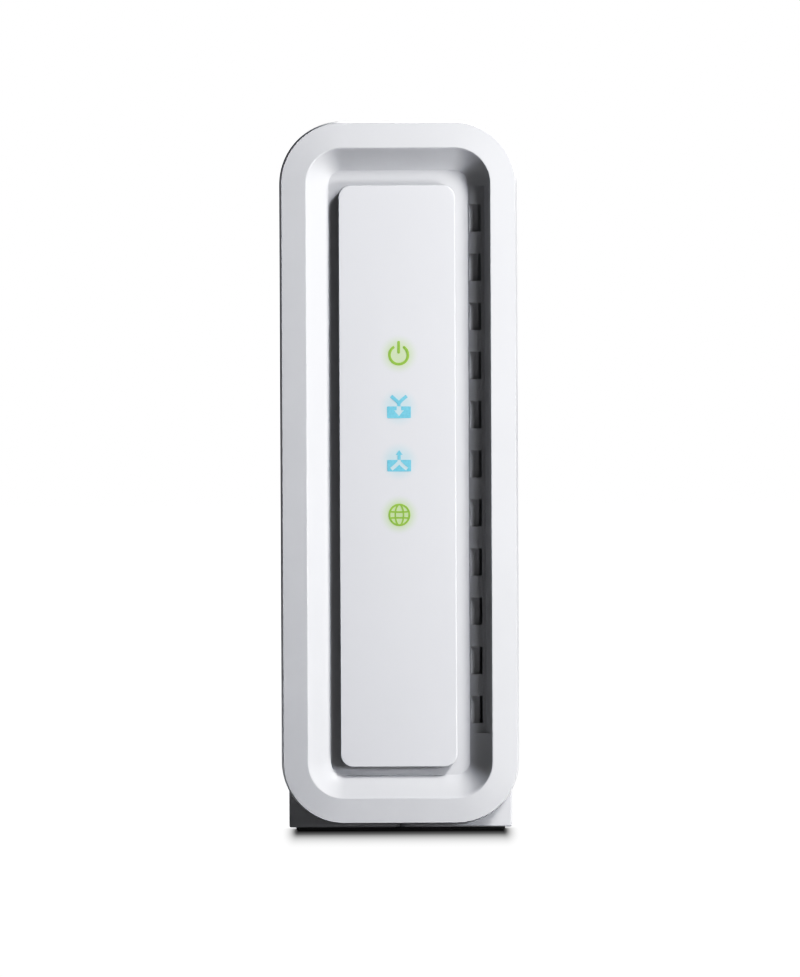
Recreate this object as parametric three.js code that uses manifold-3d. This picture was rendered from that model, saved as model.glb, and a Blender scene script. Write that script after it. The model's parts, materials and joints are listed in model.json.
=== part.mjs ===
// Upright desktop cable modem: a flared front bezel with a recessed tray and a raised status plate,
// two half shells that stand on rubber feet, a recessed rear connector panel, and the electronics.
//
// Frame, in millimetres: X to the right seen from the front, Y to the rear, Z up.
// The origin is the centre of the footprint on the resting plane (the underside of the feet).
// A span is a [low, high] pair along one axis.

import * as THREE from "three";
import { mergeVertices } from "three/addons/utils/BufferGeometryUtils.js";
import Module from "manifold-3d";

const wasm = await Module();
wasm.setup();

// ---------------------------------------------------------------- spans
const around = (middle, half) => [middle - half, middle + half];
const grow = ([low, high], by) => [low - by, high + by];

// ---------------------------------------------------------------- driving dimensions
const bezel = {
  halfWidth: 22.65,
  zSpan: [1.4, 135.3], // the upper edge is the top of the object
  cornerRadius: 12,
  crestY: -66.5, // the front of the object
  backY: -58, // rear edge of the outer wall
  faceBand: 5.2, // outer edge to rim
  floorInset: 9.4, // outer edge to the recessed floor
  floorY: -62.2,
  floorBackY: -60.8,
  skirtOuterInset: 4.6, // locating skirt
  skirtInnerInset: 6,
  skirtBackY: -54.5,
};

const shell = {
  halfWidth: 21.25,
  ySpan: [-57.7, 61],
  zSpan: [0.7, 133.7],
  topRadius: 10.6,
  bottomRadius: 0.4,
  wall: 2,
  seamGap: 0.05, // each half stops this far from the centre plane
};

const PANEL_Y = [54, 56]; // rear connector panel
const PANEL_CUT_Y = grow(PANEL_Y, 1);
const PANEL_FIT = 0.15; // gap round the panel's square openings and at its ribs

const BOARD_X = [-9.1, -7.5]; // solder side, component side
const PART_BASE_X = -7.45; // underside of parts on the component side
const BOARD_HOLES = [[-45, 14], [-45, 119], [46, 119], [14, 22.4]]; // [y, z]
const SINK_HOLES = [[-34, 48], [-34, 95], [5, 48], [5, 95]]; // [y, z]
const CASE_SCREWS = [[-14.5, 124.5], [14.5, 8.5]]; // [x, z]: left shell, right shell

const foot = {
  halfWidth: 19.9,
  height: 1.2,
  frontY: [-55.5, -43.5],
  rearY: [43, 55],
};

// Heights of the indicators on the status plate.
const INDICATOR_Z = { power: 90.9, downstream: 80.8, upstream: 70.5, online: 60.35 };
const PIN_PLACES = [-8.2, 8.2].flatMap((x) => [21, 67.5, 114].map((z) => [x, z]));
const STAKE_PLACES = [[0, 51.5], [0, 99.5]]; // [x, z] of the stakes that hold the light guide

const JACK_BACK_Y = 56.5; // rear face of the Ethernet and power jacks
const ethernet = { z: 77, halfHeight: 8, right: 6.05 };
const power = { place: [-1, 16], halfHeight: 4.5, right: 3.55 };
const coax = { place: [-0.5, 37], barrelRadius: 4.7, endY: 66.5 }; // endY: rear of the object
const reset = { place: [-3.6, 57], wellFrontY: 47, travel: 0.35 };

// Facets round a circle.
const FACETS = { tiny: 10, small: 12, medium: 16, large: 20, wide: 24, hexagon: 6 };

// ---------------------------------------------------------------- solids and outlines
// A closed three.js geometry, faces outward, as a solid.
function solid(geometry) {
  geometry.deleteAttribute("normal");
  geometry.deleteAttribute("uv");
  const merged = mergeVertices(geometry, 1e-4);
  return new wasm.Manifold(
    new wasm.Mesh({
      numProp: 3,
      vertProperties: merged.attributes.position.array,
      triVerts: new Uint32Array(merged.index.array),
    }),
  );
}

function geometryOf(body) {
  const mesh = body.getMesh();
  const geometry = new THREE.BufferGeometry()
    .setAttribute("position", new THREE.BufferAttribute(new Float32Array(mesh.vertProperties), 3))
    .setIndex(new THREE.BufferAttribute(new Uint32Array(mesh.triVerts), 1));
  geometry.computeVertexNormals();
  return geometry;
}

const join = (...parts) => parts.reduce((whole, part) => whole.add(part));
const cut = (body, ...tools) => tools.reduce((rest, tool) => rest.subtract(tool), body);

function box(xSpan, ySpan, zSpan) {
  const spans = [xSpan, ySpan, zSpan];
  const geometry = new THREE.BoxGeometry(...spans.map(([low, high]) => high - low));
  geometry.translate(...spans.map(([low, high]) => (low + high) / 2));
  return solid(geometry);
}

function extrude(points, [low, high]) {
  const shape = new THREE.Shape(points.map((point) => new THREE.Vector2(...point)));
  return new THREE.ExtrudeGeometry(shape, { depth: high - low, bevelEnabled: false, steps: 1 });
}

// Points are [y, z]; the prism runs along X.
function prismX(points, xSpan) {
  const geometry = extrude(points, xSpan);
  geometry.applyMatrix4(
    new THREE.Matrix4().set(0, 0, 1, xSpan[0], 1, 0, 0, 0, 0, 1, 0, 0, 0, 0, 0, 1),
  );
  return solid(geometry);
}

// Points are [x, z]; the prism runs along Y.
function prismY(points, ySpan) {
  const geometry = extrude(points, ySpan);
  geometry.rotateX(Math.PI / 2);
  geometry.translate(0, ySpan[1], 0);
  return solid(geometry);
}

// Points are [x, y]; the prism runs along Z.
function prismZ(points, zSpan) {
  const geometry = extrude(points, zSpan);
  geometry.translate(0, 0, zSpan[0]);
  return solid(geometry);
}

function circle([centreX, centreY], radius, facets, turn = 0) {
  return Array.from({ length: facets }, (_, i) => {
    const angle = turn + (i / facets) * 2 * Math.PI;
    return [centreX + radius * Math.cos(angle), centreY + radius * Math.sin(angle)];
  });
}

// Rods: a place is [y, z] for rodX and [x, z] for rodY.
const rodX = (place, radius, xSpan, facets = FACETS.small) =>
  prismX(circle(place, radius, facets), xSpan);
const rodY = (place, radius, ySpan, facets = FACETS.small) =>
  prismY(circle(place, radius, facets), ySpan);
const rodsX = (places, ...size) => places.map((place) => rodX(place, ...size));
const rodsY = (places, ...size) => places.map((place) => rodY(place, ...size));

// Rounded rectangle as [x, z] points, from the lower left corner round by the lower right.
function roundRect([left, right], [bottom, top], bottomRadius, topRadius, segments = 6) {
  // Columns: arc centre x, arc centre z, radius, first quarter turn.
  const corners = [
    [left + bottomRadius, bottom + bottomRadius, bottomRadius, 2],
    [right - bottomRadius, bottom + bottomRadius, bottomRadius, 3],
    [right - topRadius, top - topRadius, topRadius, 0],
    [left + topRadius, top - topRadius, topRadius, 1],
  ];
  return corners.flatMap(([x, z, radius, quarter]) => {
    if (radius === 0) return [[x, z]];
    return Array.from({ length: segments + 1 }, (_, i) => {
      const angle = (quarter + i / segments) * (Math.PI / 2);
      return [x + radius * Math.cos(angle), z + radius * Math.sin(angle)];
    });
  });
}

// Skin through insets of one rounded rectangle, closed by a flat cap at both ends.
// The profile's columns are inset and y; it starts at the front and runs over the outside.
function loft({ xSpan, zSpan, radius, segments }, profile) {
  const positions = [];
  for (const [inset, y] of profile) {
    const corner = radius - inset;
    const ring = roundRect(grow(xSpan, -inset), grow(zSpan, -inset), corner, corner, segments);
    for (const [x, z] of ring) positions.push(x, y, z);
  }
  const count = positions.length / 3 / profile.length;
  const last = (profile.length - 1) * count;
  const triangles = [];
  for (let start = 0; start < last; start += count) {
    for (let i = 0; i < count; i++) {
      const here = start + i;
      const next = start + ((i + 1) % count);
      triangles.push(here, next + count, next, here, here + count, next + count);
    }
  }
  for (let i = 1; i + 1 < count; i++) {
    triangles.push(0, i, i + 1);
    triangles.push(last, last + i + 1, last + i);
  }
  return solid(
    new THREE.BufferGeometry()
      .setAttribute("position", new THREE.BufferAttribute(new Float32Array(positions), 3))
      .setIndex(triangles),
  );
}

// Block along X with its four long edges chamfered.
function chamferedBlock(xSpan, [front, back], [bottom, top], chamfer) {
  const outline = [
    [front + chamfer, bottom], [back - chamfer, bottom],
    [back, bottom + chamfer], [back, top - chamfer],
    [back - chamfer, top], [front + chamfer, top],
    [front, top - chamfer], [front, bottom + chamfer],
  ];
  return prismX(outline, xSpan);
}

// Box standing on the component side of the board.
const boardPart = (right, ySpan, zSpan) => box([PART_BASE_X, right], ySpan, zSpan);

// ---------------------------------------------------------------- materials
const finish = (settings) => new THREE.MeshStandardMaterial(settings);
const finishes = {
  white: finish({ color: 0xe6e7ea, roughness: 0.42 }),
  plate: finish({ color: 0xe9eaee, roughness: 0.3 }),
  rear: finish({ color: 0xd9dadd, roughness: 0.5 }),
  rubber: finish({ color: 0x0c0c0e, roughness: 0.85 }),
  label: finish({ color: 0xf2f2f0, roughness: 0.55 }),
  clear: finish({ color: 0xdfe8ee, roughness: 0.12, transparent: true, opacity: 0.5 }),
  board: finish({ color: 0x0f4a2c, roughness: 0.45 }),
  chip: finish({ color: 0x17181a, roughness: 0.5 }),
  alloy: finish({ color: 0xb4b7bb, roughness: 0.35, metalness: 1 }),
  tin: finish({ color: 0xc6c8c8, roughness: 0.28, metalness: 1 }),
  nickel: finish({ color: 0xc9c6be, roughness: 0.22, metalness: 1 }),
  gold: finish({ color: 0xd8a93c, roughness: 0.25, metalness: 1 }),
  ferrite: finish({ color: 0x3a3b3f, roughness: 0.6 }),
  black: finish({ color: 0x131315, roughness: 0.45 }),
  insulator: finish({ color: 0xf3f1ea, roughness: 0.5 }),
  pad: finish({ color: 0x8fa3b8, roughness: 0.8 }),
  lamp: finish({ color: 0xf4f4ee, roughness: 0.3 }),
  steel: finish({ color: 0x8e9196, roughness: 0.35, metalness: 1 }),
  switchGrey: finish({ color: 0x2a2b2e, roughness: 0.5 }),
  plunger: finish({ color: 0x1b1b1d, roughness: 0.5 }),
  capacitor: finish({ color: 0x1f2a44, roughness: 0.4 }),
};

// ---------------------------------------------------------------- scene graph
const modem = new THREE.Group();
modem.name = "cable_modem";
const groups = {};
for (const name of ["front", "electronics", "casing", "connectors", "reset"]) {
  groups[name] = new THREE.Group();
  groups[name].name = name;
  modem.add(groups[name]);
}

function add(groupName, name, body, material) {
  const mesh = new THREE.Mesh(geometryOf(body), material);
  mesh.name = name;
  groups[groupName].add(mesh);
}

// ---------------------------------------------------------------- front bezel
// Columns: inset from the outer edge, y.
const BEZEL_PROFILE = [
  [bezel.floorInset, bezel.floorY],
  [8.29, -62.96], // concave wall, steepest at the rim
  [7.26, -63.88],
  [6.3, -64.96],
  [5.42, -66.2],
  [bezel.faceBand, -66.46],
  [4.85, bezel.crestY], // rim
  [0.62, -65.97], // crowned face
  [0.42, -65.84], // outer edge
  [0, -59.5], // drafted outer wall
  [0, bezel.backY],
  [1.8, bezel.backY],
  [1.8, -64.1], // hollow behind the face
  [4.45, -64.1],
  [bezel.skirtOuterInset, -63.85],
  [bezel.skirtOuterInset, bezel.skirtBackY],
  [bezel.skirtInnerInset, bezel.skirtBackY],
  [bezel.skirtInnerInset, -62.4],
  [7.2, -62],
  [8.9, bezel.floorBackY],
];

// Long channel in the right-hand wall of the recess: steep outer side, ledge, slope. Points [x, y].
const CHANNEL_SECTION = [
  [16.4, -63.78], [15.75, -63.55], [13.25, -62.24], [13.25, -67.5], [17.2, -67.5], [17.2, -66.25],
];
const CHANNEL_Z = [18.8, 122.9];

// Slot in the channel: a sloping bed at the left, open right through beyond it. Points [x, y].
const VENT_SECTION = [
  [13.5, -68], [15.7, -68], [15.7, -57.5], [15.15, -57.5], [15.15, -62], [13.5, bezel.floorY],
];
const vent = { count: 11, pitch: 9.35, topZ: 116.75, height: 5.2 };

function frontBezel() {
  const throughFloorY = [-63, -60];
  const outline = {
    xSpan: around(0, bezel.halfWidth),
    zSpan: bezel.zSpan,
    radius: bezel.cornerRadius,
    segments: 8,
  };
  let body = cut(loft(outline, BEZEL_PROFILE), prismZ(CHANNEL_SECTION, CHANNEL_Z));
  for (let i = 0; i < vent.count; i++) {
    const z = vent.topZ - i * vent.pitch;
    body = cut(body, prismZ(VENT_SECTION, around(z, vent.height / 2)));
  }
  const guideWindow = box([-3.2, 3.2], throughFloorY, [56.3, 94.9]);
  body = cut(body, guideWindow, ...rodsY(PIN_PLACES, 1.15, throughFloorY));
  return join(body, ...rodsY(STAKE_PLACES, 0.95, [-61.2, -58.9]));
}
add("front", "front_bezel", frontBezel(), finishes.white);

// ---------------------------------------------------------------- raised status plate
const plate = {
  x: -0.3,
  halfWidth: 11.1,
  zSpan: [12.4, 123],
  cornerRadius: 2.4,
  frontY: -64.1,
  backY: bezel.floorY - 0.06,
  wall: 1.3,
};

function statusPlate() {
  const embeddedY = plate.frontY + 0.8; // where pins and ribs start inside the front wall
  const outline = {
    xSpan: around(plate.x, plate.halfWidth),
    zSpan: plate.zSpan,
    radius: plate.cornerRadius,
    segments: 6,
  };
  // Columns: inset, y. Softened front edge, side wall, then the hollow behind.
  const body = loft(outline, [
    [0.45, plate.frontY],
    [0.12, plate.frontY + 0.14],
    [0, plate.frontY + 0.5],
    [0, plate.backY],
    [plate.wall, plate.backY],
    [plate.wall, plate.frontY + plate.wall],
  ]);
  const ribs = [40, 106].map((z) =>
    box(around(plate.x, 10.2), [embeddedY, bezel.floorY - 0.3], around(z, 0.6)),
  );
  return join(body, ...rodsY(PIN_PLACES, 1, [embeddedY, -60]), ...ribs);
}
add("front", "status_plate", statusPlate(), finishes.plate);

// ---------------------------------------------------------------- light guide and lamps
// One arm of the guide, from the window back and left to its lamp. Points [x, y].
const GUIDE_ARM_SECTION = [
  [-2.3, -62.7], [2.3, -62.7], [2.3, -60], [-5.3, -53.6],
  [-5.3, -51.5], [-7.2, -51.5], [-7.2, -54.9], [-2.3, -60.4],
];

function lightGuide() {
  const spine = box([-2.2, 2.2], [-60.55, -59.2], [48.6, 102.4]);
  const arms = Object.values(INDICATOR_Z).map((z) => prismZ(GUIDE_ARM_SECTION, around(z, 2.3)));
  return cut(join(spine, ...arms), ...rodsY(STAKE_PLACES, 1.1, [-62, -58]));
}
add("front", "light_guide", lightGuide(), finishes.clear);

function lamp(z) {
  const body = boardPart(-5.8, [-50.6, -48.6], around(z, 1.5));
  const nose = box([-7.2, -6.05], [-51.15, -50.5], around(z, 1));
  return join(body, nose);
}
for (const [name, z] of Object.entries(INDICATOR_Z)) {
  add("electronics", `${name}_led`, lamp(z), finishes.lamp);
}

// ---------------------------------------------------------------- half shells
const shellX = around(0, shell.halfWidth);

// The shell's inner outline, moved inward by a gap.
function innerOutline(gap) {
  const inset = shell.wall + gap;
  return roundRect(grow(shellX, -inset), grow(shell.zSpan, -inset), 0, shell.topRadius - inset);
}

// Rib all round the inside of the shell.
const innerRib = (ySpan) =>
  cut(prismY(innerOutline(-0.5), ySpan), prismY(innerOutline(1.2), grow(ySpan, 1)));

function bezelOpening() {
  const inset = bezel.skirtOuterInset - 0.15;
  const radius = bezel.cornerRadius - inset;
  const xSpan = around(0, bezel.halfWidth - inset);
  const outline = roundRect(xSpan, grow(bezel.zSpan, -inset), radius, radius);
  return prismY(outline, [shell.ySpan[0] - 1, shell.ySpan[0] + shell.wall + 1]);
}

const coolingSlots = {
  count: 12,
  firstY: -34,
  pitch: 6,
  halfWidth: 1.1,
  // Columns: x span, z span. Two rows through the top, two through the bottom.
  rows: [
    [[-12.5, -3.4], [128, 135]],
    [[3.4, 12.5], [128, 135]],
    [[-13.5, -3.4], [0, 3.5]],
    [[3.4, 13.5], [0, 3.5]],
  ],
};

function hull() {
  const [front, back] = shell.ySpan;
  const outer = roundRect(shellX, shell.zSpan, shell.bottomRadius, shell.topRadius);
  let body = cut(
    prismY(outer, shell.ySpan),
    prismY(innerOutline(0), [front + shell.wall, back + 1]),
    bezelOpening(),
  );
  // Two ribs that hold the rear panel between them.
  const ribDepth = 1.25;
  const ribBack = PANEL_Y[0] - PANEL_FIT;
  const ribFront = PANEL_Y[1] + PANEL_FIT;
  body = join(
    body,
    innerRib([ribBack - ribDepth, ribBack]),
    innerRib([ribFront, ribFront + ribDepth]),
  );
  for (let i = 0; i < coolingSlots.count; i++) {
    const ySpan = around(coolingSlots.firstY + i * coolingSlots.pitch, coolingSlots.halfWidth);
    for (const [xSpan, zSpan] of coolingSlots.rows) body = cut(body, box(xSpan, ySpan, zSpan));
  }
  const footGap = 0.1;
  const footSeats = [foot.frontY, foot.rearY].map((ySpan) =>
    box(around(0, foot.halfWidth + footGap), grow(ySpan, footGap), [0, foot.height + footGap]),
  );
  const seamNotch = box([-0.85, 0.85], [-59, -56.3], [0, 1.35]); // front end of the bottom seam
  return cut(body, ...footSeats, seamNotch);
}

// Rear screw boss tied to its side wall, with the screw hole bored.
function withScrewBoss(half, [x, z]) {
  const bossY = [42, 52.4];
  const tieEnd = Math.sign(x) * 19.43;
  const tie = box([Math.min(x, tieEnd), Math.max(x, tieEnd)], bossY, around(z, 1));
  const boss = join(rodY([x, z], 3.3, bossY, FACETS.medium), tie);
  return cut(join(half, boss), rodY([x, z], 1.5, [43.5, 53.9]));
}

// Tongues along the seam that slide under the right half. Columns: x span, y span, z span.
const SEAM_TONGUES = [
  [[-3, -shell.seamGap], [-54.2, 52], [130.5, 132.2]],
  [[-0.5, 1.5], [-54.2, 52], [130.5, 131.55]],
  [[-3, -shell.seamGap], [-55, 52], [2.4, 4.1]],
  [[-0.5, 1.5], [-55, 52], [3.05, 4.1]],
];

// A half of the hull is what lies inside this x span.
const halfHull = (xSpan) => hull().intersect(box(xSpan, [-70, 70], [-5, 140]));

function leftShell() {
  const boardBosses = rodsX(BOARD_HOLES, 3.2, [-19.6, BOARD_X[0] - 0.05], FACETS.medium);
  let half = join(halfHull([-30, -shell.seamGap]), ...boardBosses);
  half = cut(half, ...rodsX(BOARD_HOLES, 1.55, [-18.6, -8]));
  half = join(half, ...SEAM_TONGUES.map((spans) => box(...spans)));
  return withScrewBoss(half, CASE_SCREWS[0]);
}

function rightShell() {
  const half = withScrewBoss(halfHull([shell.seamGap, 30]), CASE_SCREWS[1]);
  const wallRibs = [30, 66, 102].map((z) => box([18.2, 19.6], [-50, 48], around(z, 0.6)));
  return join(half, ...wallRibs);
}
add("casing", "left_shell", leftShell(), finishes.white);
add("casing", "right_shell", rightShell(), finishes.white);

// ---------------------------------------------------------------- rear connector panel
function rearPanel() {
  // Opening round a square jack that stands on the board.
  const jackOpening = (right, z, halfHeight) =>
    box(
      grow([PART_BASE_X, right], PANEL_FIT),
      PANEL_CUT_Y,
      around(z, halfHeight + PANEL_FIT),
    );
  const slots = [];
  for (let i = 0; i < 7; i++) {
    const z = 28 + i * 9;
    for (const xSpan of [[10.2, 12], [-13.6, -11.8]]) {
      slots.push(box(xSpan, PANEL_CUT_Y, [z, z + 6]));
    }
  }
  return cut(
    prismY(innerOutline(0.2), PANEL_Y),
    jackOpening(ethernet.right, ethernet.z, ethernet.halfHeight),
    rodY(coax.place, coax.barrelRadius + 0.25, PANEL_CUT_Y, FACETS.wide),
    jackOpening(power.right, power.place[1], power.halfHeight),
    rodY(reset.place, 1.3, PANEL_CUT_Y, FACETS.medium),
    ...rodsY(CASE_SCREWS, 1.75, PANEL_CUT_Y),
    ...slots,
  );
}
add("casing", "rear_panel", rearPanel(), finishes.rear);

const ratingLabel = box([-12.5, 12.5], [PANEL_Y[1] + 0.05, PANEL_Y[1] + 0.2], [96.5, 117.5]);
add("casing", "rating_label", ratingLabel, finishes.label);

// ---------------------------------------------------------------- feet
// Full-width strip with two fine nicks in its front edge.
function footStrip(ySpan) {
  const nickY = [ySpan[0] - 1, ySpan[0] + 0.5];
  const nicks = [-7, 8].map((x) => box(around(x, 0.12), nickY, [-1, 2]));
  return cut(box(around(0, foot.halfWidth), ySpan, [0, foot.height]), ...nicks);
}
add("casing", "front_foot", footStrip(foot.frontY), finishes.rubber);
add("casing", "rear_foot", footStrip(foot.rearY), finishes.rubber);

// ---------------------------------------------------------------- circuit board
const mainBoard = cut(
  box(BOARD_X, [-51.5, 53], [8, 126]),
  ...rodsX([...BOARD_HOLES, ...SINK_HOLES], 1.65, [-12, -6]),
);
add("electronics", "main_board", mainBoard, finishes.board);

// ---------------------------------------------------------------- processor and cooling
const processor = { ySpan: [-28, -1], zSpan: [58, 85] };

// Pad 1 mm inside the processor's outline.
const coolingPad = (xSpan) => box(xSpan, grow(processor.ySpan, -1), grow(processor.zSpan, -1));

function heatsink() {
  const zSpan = [43, 100];
  const fin = { count: 10, firstY: -45.2, pitch: 6.2, thickness: 1.4 };
  let sink = box([-4.8, -1.8], [-46, 12], zSpan);
  for (let i = 0; i < fin.count; i++) {
    const y = fin.firstY + i * fin.pitch;
    sink = join(sink, box([-2.2, 13.5], [y, y + fin.thickness], zSpan));
  }
  return cut(sink, ...rodsX(SINK_HOLES, 1.5, [-6, -2.3]));
}

// Sheet on the solder side, with a flange to the left along its front and rear edges.
function heatSpreader() {
  const thickness = 1.4;
  const right = -10.3;
  const [front, back] = [-39.2, 34];
  const zSpan = [32, 110];
  const flangeX = [-16.5, right];
  const sheet = join(
    box([right - thickness, right], [front, back], zSpan),
    box(flangeX, [front, front + thickness], zSpan),
    box(flangeX, [back - thickness, back], zSpan),
  );
  return cut(sheet, ...rodsX(SINK_HOLES, 1.65, [-13, -9]));
}

const processorChip = boardPart(-5.95, processor.ySpan, processor.zSpan);
add("electronics", "processor_chip", processorChip, finishes.chip);
add("electronics", "thermal_pad", coolingPad([-5.9, -4.86]), finishes.pad);
add("electronics", "heatsink", heatsink(), finishes.alloy);
add("electronics", "heat_spreader", heatSpreader(), finishes.alloy);
add("electronics", "spreader_pad", coolingPad([-10.25, -9.15]), finishes.pad);

// ---------------------------------------------------------------- screws
const heatsinkScrew = (place) =>
  join(rodX(place, 2.7, [-13.6, -11.75]), rodX(place, 1.3, [-12.5, -2.6]));

const boardScrew = (place) =>
  join(rodX(place, 2.8, [PART_BASE_X, -5.4]), rodX(place, 1.35, [-15.5, -6.5]));

function caseScrew([x, z]) {
  const recess = { ySpan: [57.1, 59], halfLength: 2.2, halfWidth: 0.35 }; // cross in the head
  const head = cut(
    rodY([x, z], 2.9, [PANEL_Y[1] + 0.05, 58]),
    box(around(x, recess.halfLength), recess.ySpan, around(z, recess.halfWidth)),
    box(around(x, recess.halfWidth), recess.ySpan, around(z, recess.halfLength)),
  );
  return join(head, rodY([x, z], 1.3, [45.5, 56.5]));
}

function addScrews(groupName, name, places, screw) {
  places.forEach((place, i) => {
    add(groupName, `${name}_${i + 1}`, screw(place), finishes.steel);
  });
}
addScrews("electronics", "heatsink_screw", SINK_HOLES, heatsinkScrew);
addScrews("electronics", "board_screw", BOARD_HOLES, boardScrew);
addScrews("casing", "case_screw", CASE_SCREWS, caseScrew);

// ---------------------------------------------------------------- board components
// Columns: name, right face x, y span, z span.
const CHIPS = [
  ["memory_chip_1", -6.35, [-30, -18.5], [104, 113]],
  ["memory_chip_2", -6.35, [-14, -2.5], [104, 113]],
  ["flash_chip", -6, [6, 14], [105, 111]],
  ["ethernet_chip", -6.5, [15.5, 25.5], [92.5, 102.5]],
];
for (const [name, ...extents] of CHIPS) {
  add("electronics", name, boardPart(...extents), finishes.chip);
}

// Columns: name, right face x, y span, z span, chamfer, material.
const CHAMFERED_PARTS = [
  ["clock_crystal", -5.6, [-38, -33], [104, 107.4], 1, finishes.tin],
  ["ethernet_transformer", -1.9, [17, 32], around(ethernet.z, 6.5), 0.6, finishes.black],
  ["power_inductor_1", -3.2, [-2, 5.5], [11, 18.5], 1.2, finishes.ferrite],
  ["power_inductor_2", -3.2, [-13, -5.5], [11, 18.5], 1.2, finishes.ferrite],
];
for (const [name, right, ySpan, zSpan, chamfer, material] of CHAMFERED_PARTS) {
  const part = chamferedBlock([PART_BASE_X, right], ySpan, zSpan, chamfer);
  add("electronics", name, part, material);
}

// Round can on a square base.
function capacitor([y, z]) {
  const can = rodX([y, z], 4, [PART_BASE_X + 0.4, 4.2], FACETS.large);
  return join(can, boardPart(PART_BASE_X + 0.8, around(y, 3.9), around(z, 3.9)));
}
const CAPACITORS = [[34.5, 14.6], [24.8, 14.6], [-22, 15]]; // [y, z]
CAPACITORS.forEach((place, i) => {
  add("electronics", `capacitor_${i + 1}`, capacitor(place), finishes.capacitor);
});

// ---------------------------------------------------------------- tuner
const tuner = { ySpan: [14.3, 38.9], zSpan: [27, 47], frameWall: 0.5, lidReach: 0.5, lidWall: 0.35 };

// Box over the tuner's outline, grown on its four sides.
const tunerBox = (xSpan, by) => box(xSpan, grow(tuner.ySpan, by), grow(tuner.zSpan, by));

const tunerFrame = cut(
  tunerBox([PART_BASE_X, -3.4], 0),
  tunerBox([-8, -3], -tuner.frameWall),
);
// The lid fits over the frame with clearance all round.
const tunerLid = cut(
  tunerBox([-4.9, -2.6], tuner.lidReach),
  tunerBox([-6, -3.1], tuner.lidReach - tuner.lidWall),
);
add("electronics", "tuner_chip", boardPart(-6.4, [22, 30], [31, 39]), finishes.chip);
add("electronics", "tuner_shield_frame", tunerFrame, finishes.tin);
add("electronics", "tuner_shield_lid", tunerLid, finishes.tin);

// ---------------------------------------------------------------- Ethernet jack
const ETHERNET_FRONT_Y = 35.5;

// Box centred on the jack's height.
const ethernetBox = (xSpan, ySpan, halfHeight) =>
  box(xSpan, ySpan, around(ethernet.z, halfHeight));

function ethernetShield() {
  const { right, halfHeight } = ethernet;
  const wall = 0.5;
  return cut(
    ethernetBox([PART_BASE_X, right], [ETHERNET_FRONT_Y, JACK_BACK_Y], halfHeight),
    ethernetBox([-9, right - wall], [ETHERNET_FRONT_Y + wall, 58], halfHeight - wall),
  );
}

function ethernetInsert() {
  const gap = 0.6; // to the outside of the shield
  const socketY = [43.5, 58];
  return cut(
    ethernetBox(
      [PART_BASE_X + 0.1, ethernet.right - gap],
      [ETHERNET_FRONT_Y + gap, JACK_BACK_Y - 0.15],
      ethernet.halfHeight - gap,
    ),
    ethernetBox([-5.6, 1.35], socketY, 5.95),
    ethernetBox([1.3, 2.9], socketY, 3.1), // steps for the plug's latch
    ethernetBox([2.8, 4.1], socketY, 1.7),
  );
}

// Eight sloping fingers joined by a bar at the rear.
const FINGER_SECTION = [[-4.9, 53.4], [-3.55, 45.7], [-3.95, 45.6], [-5.1, 52.6], [-5.5, 53.4]];
function ethernetContacts() {
  const finger = { count: 8, pitch: 1.02, halfWidth: 0.22 };
  let comb = ethernetBox([-5.5, -5.05], [52.4, 53.6], 4.1);
  for (let i = 0; i < finger.count; i++) {
    const z = ethernet.z + (i - (finger.count - 1) / 2) * finger.pitch;
    comb = join(comb, prismZ(FINGER_SECTION, around(z, finger.halfWidth)));
  }
  return comb;
}
add("connectors", "ethernet_shield", ethernetShield(), finishes.tin);
add("connectors", "ethernet_insert", ethernetInsert(), finishes.black);
add("connectors", "ethernet_contacts", ethernetContacts(), finishes.gold);

// ---------------------------------------------------------------- coaxial connector
const coaxRod = (radius, ySpan, facets) => rodY(coax.place, radius, ySpan, facets);

function coaxBody() {
  const z = coax.place[1];
  const block = cut(
    boardPart(6.4, [41, 53.6], around(z, 7.5)),
    box([4.4, 7], [40, 50.8], around(z, 9)), // leaves a flange at the rear
  );
  const barrel = coaxRod(coax.barrelRadius, [53, coax.endY], FACETS.wide);
  return cut(join(block, barrel), coaxRod(3.3, [50, 70], FACETS.large));
}

const coaxInsulator = cut(coaxRod(3.15, [50.2, 65.6], FACETS.large), coaxRod(0.95, [49, 70]));
const coaxContact = cut(coaxRod(0.8, [50.4, 65.2]), coaxRod(0.5, [54, 70], FACETS.tiny));
const coaxWasher = cut(
  coaxRod(7.2, [56.06, 56.6], FACETS.wide),
  coaxRod(coax.barrelRadius + 0.2, [55, 58], FACETS.wide),
);
const coaxNut = cut(
  prismY(circle(coax.place, 6.93, FACETS.hexagon, Math.PI / 6), [56.68, 58.9]),
  coaxRod(coax.barrelRadius + 0.15, [55, 60], FACETS.wide),
);
add("connectors", "coax_body", coaxBody(), finishes.nickel);
add("connectors", "coax_insulator", coaxInsulator, finishes.insulator);
add("connectors", "coax_contact", coaxContact, finishes.gold);
add("connectors", "coax_washer", coaxWasher, finishes.nickel);
add("connectors", "coax_nut", coaxNut, finishes.nickel);

// ---------------------------------------------------------------- power jack
const powerHousing = cut(
  boardPart(power.right, [42.5, JACK_BACK_Y], around(power.place[1], power.halfHeight)),
  rodY(power.place, 3.2, [47, 58], FACETS.large), // socket
  rodY(power.place, 1.15, [44, 48]), // hole for the pin
);
add("connectors", "power_jack_housing", powerHousing, finishes.black);
add("connectors", "power_jack_pin", rodY(power.place, 1, [44.3, 55.3]), finishes.nickel);

// ---------------------------------------------------------------- reset switch
const resetBody = cut(
  boardPart(-0.6, [46, 50.4], around(reset.place[1], 3)),
  rodY(reset.place, 1.6, [reset.wellFrontY, 51], FACETS.medium),
);
// The plunger stands clear of the well's floor by its travel and a small gap.
const plungerY = [reset.wellFrontY + reset.travel + 0.25, 53.4];
const resetPlunger = rodY(reset.place, 1.2, plungerY, FACETS.medium);
add("connectors", "reset_switch_body", resetBody, finishes.switchGrey);
add("reset", "reset_plunger", resetPlunger, finishes.plunger);

export default modem;
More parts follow.
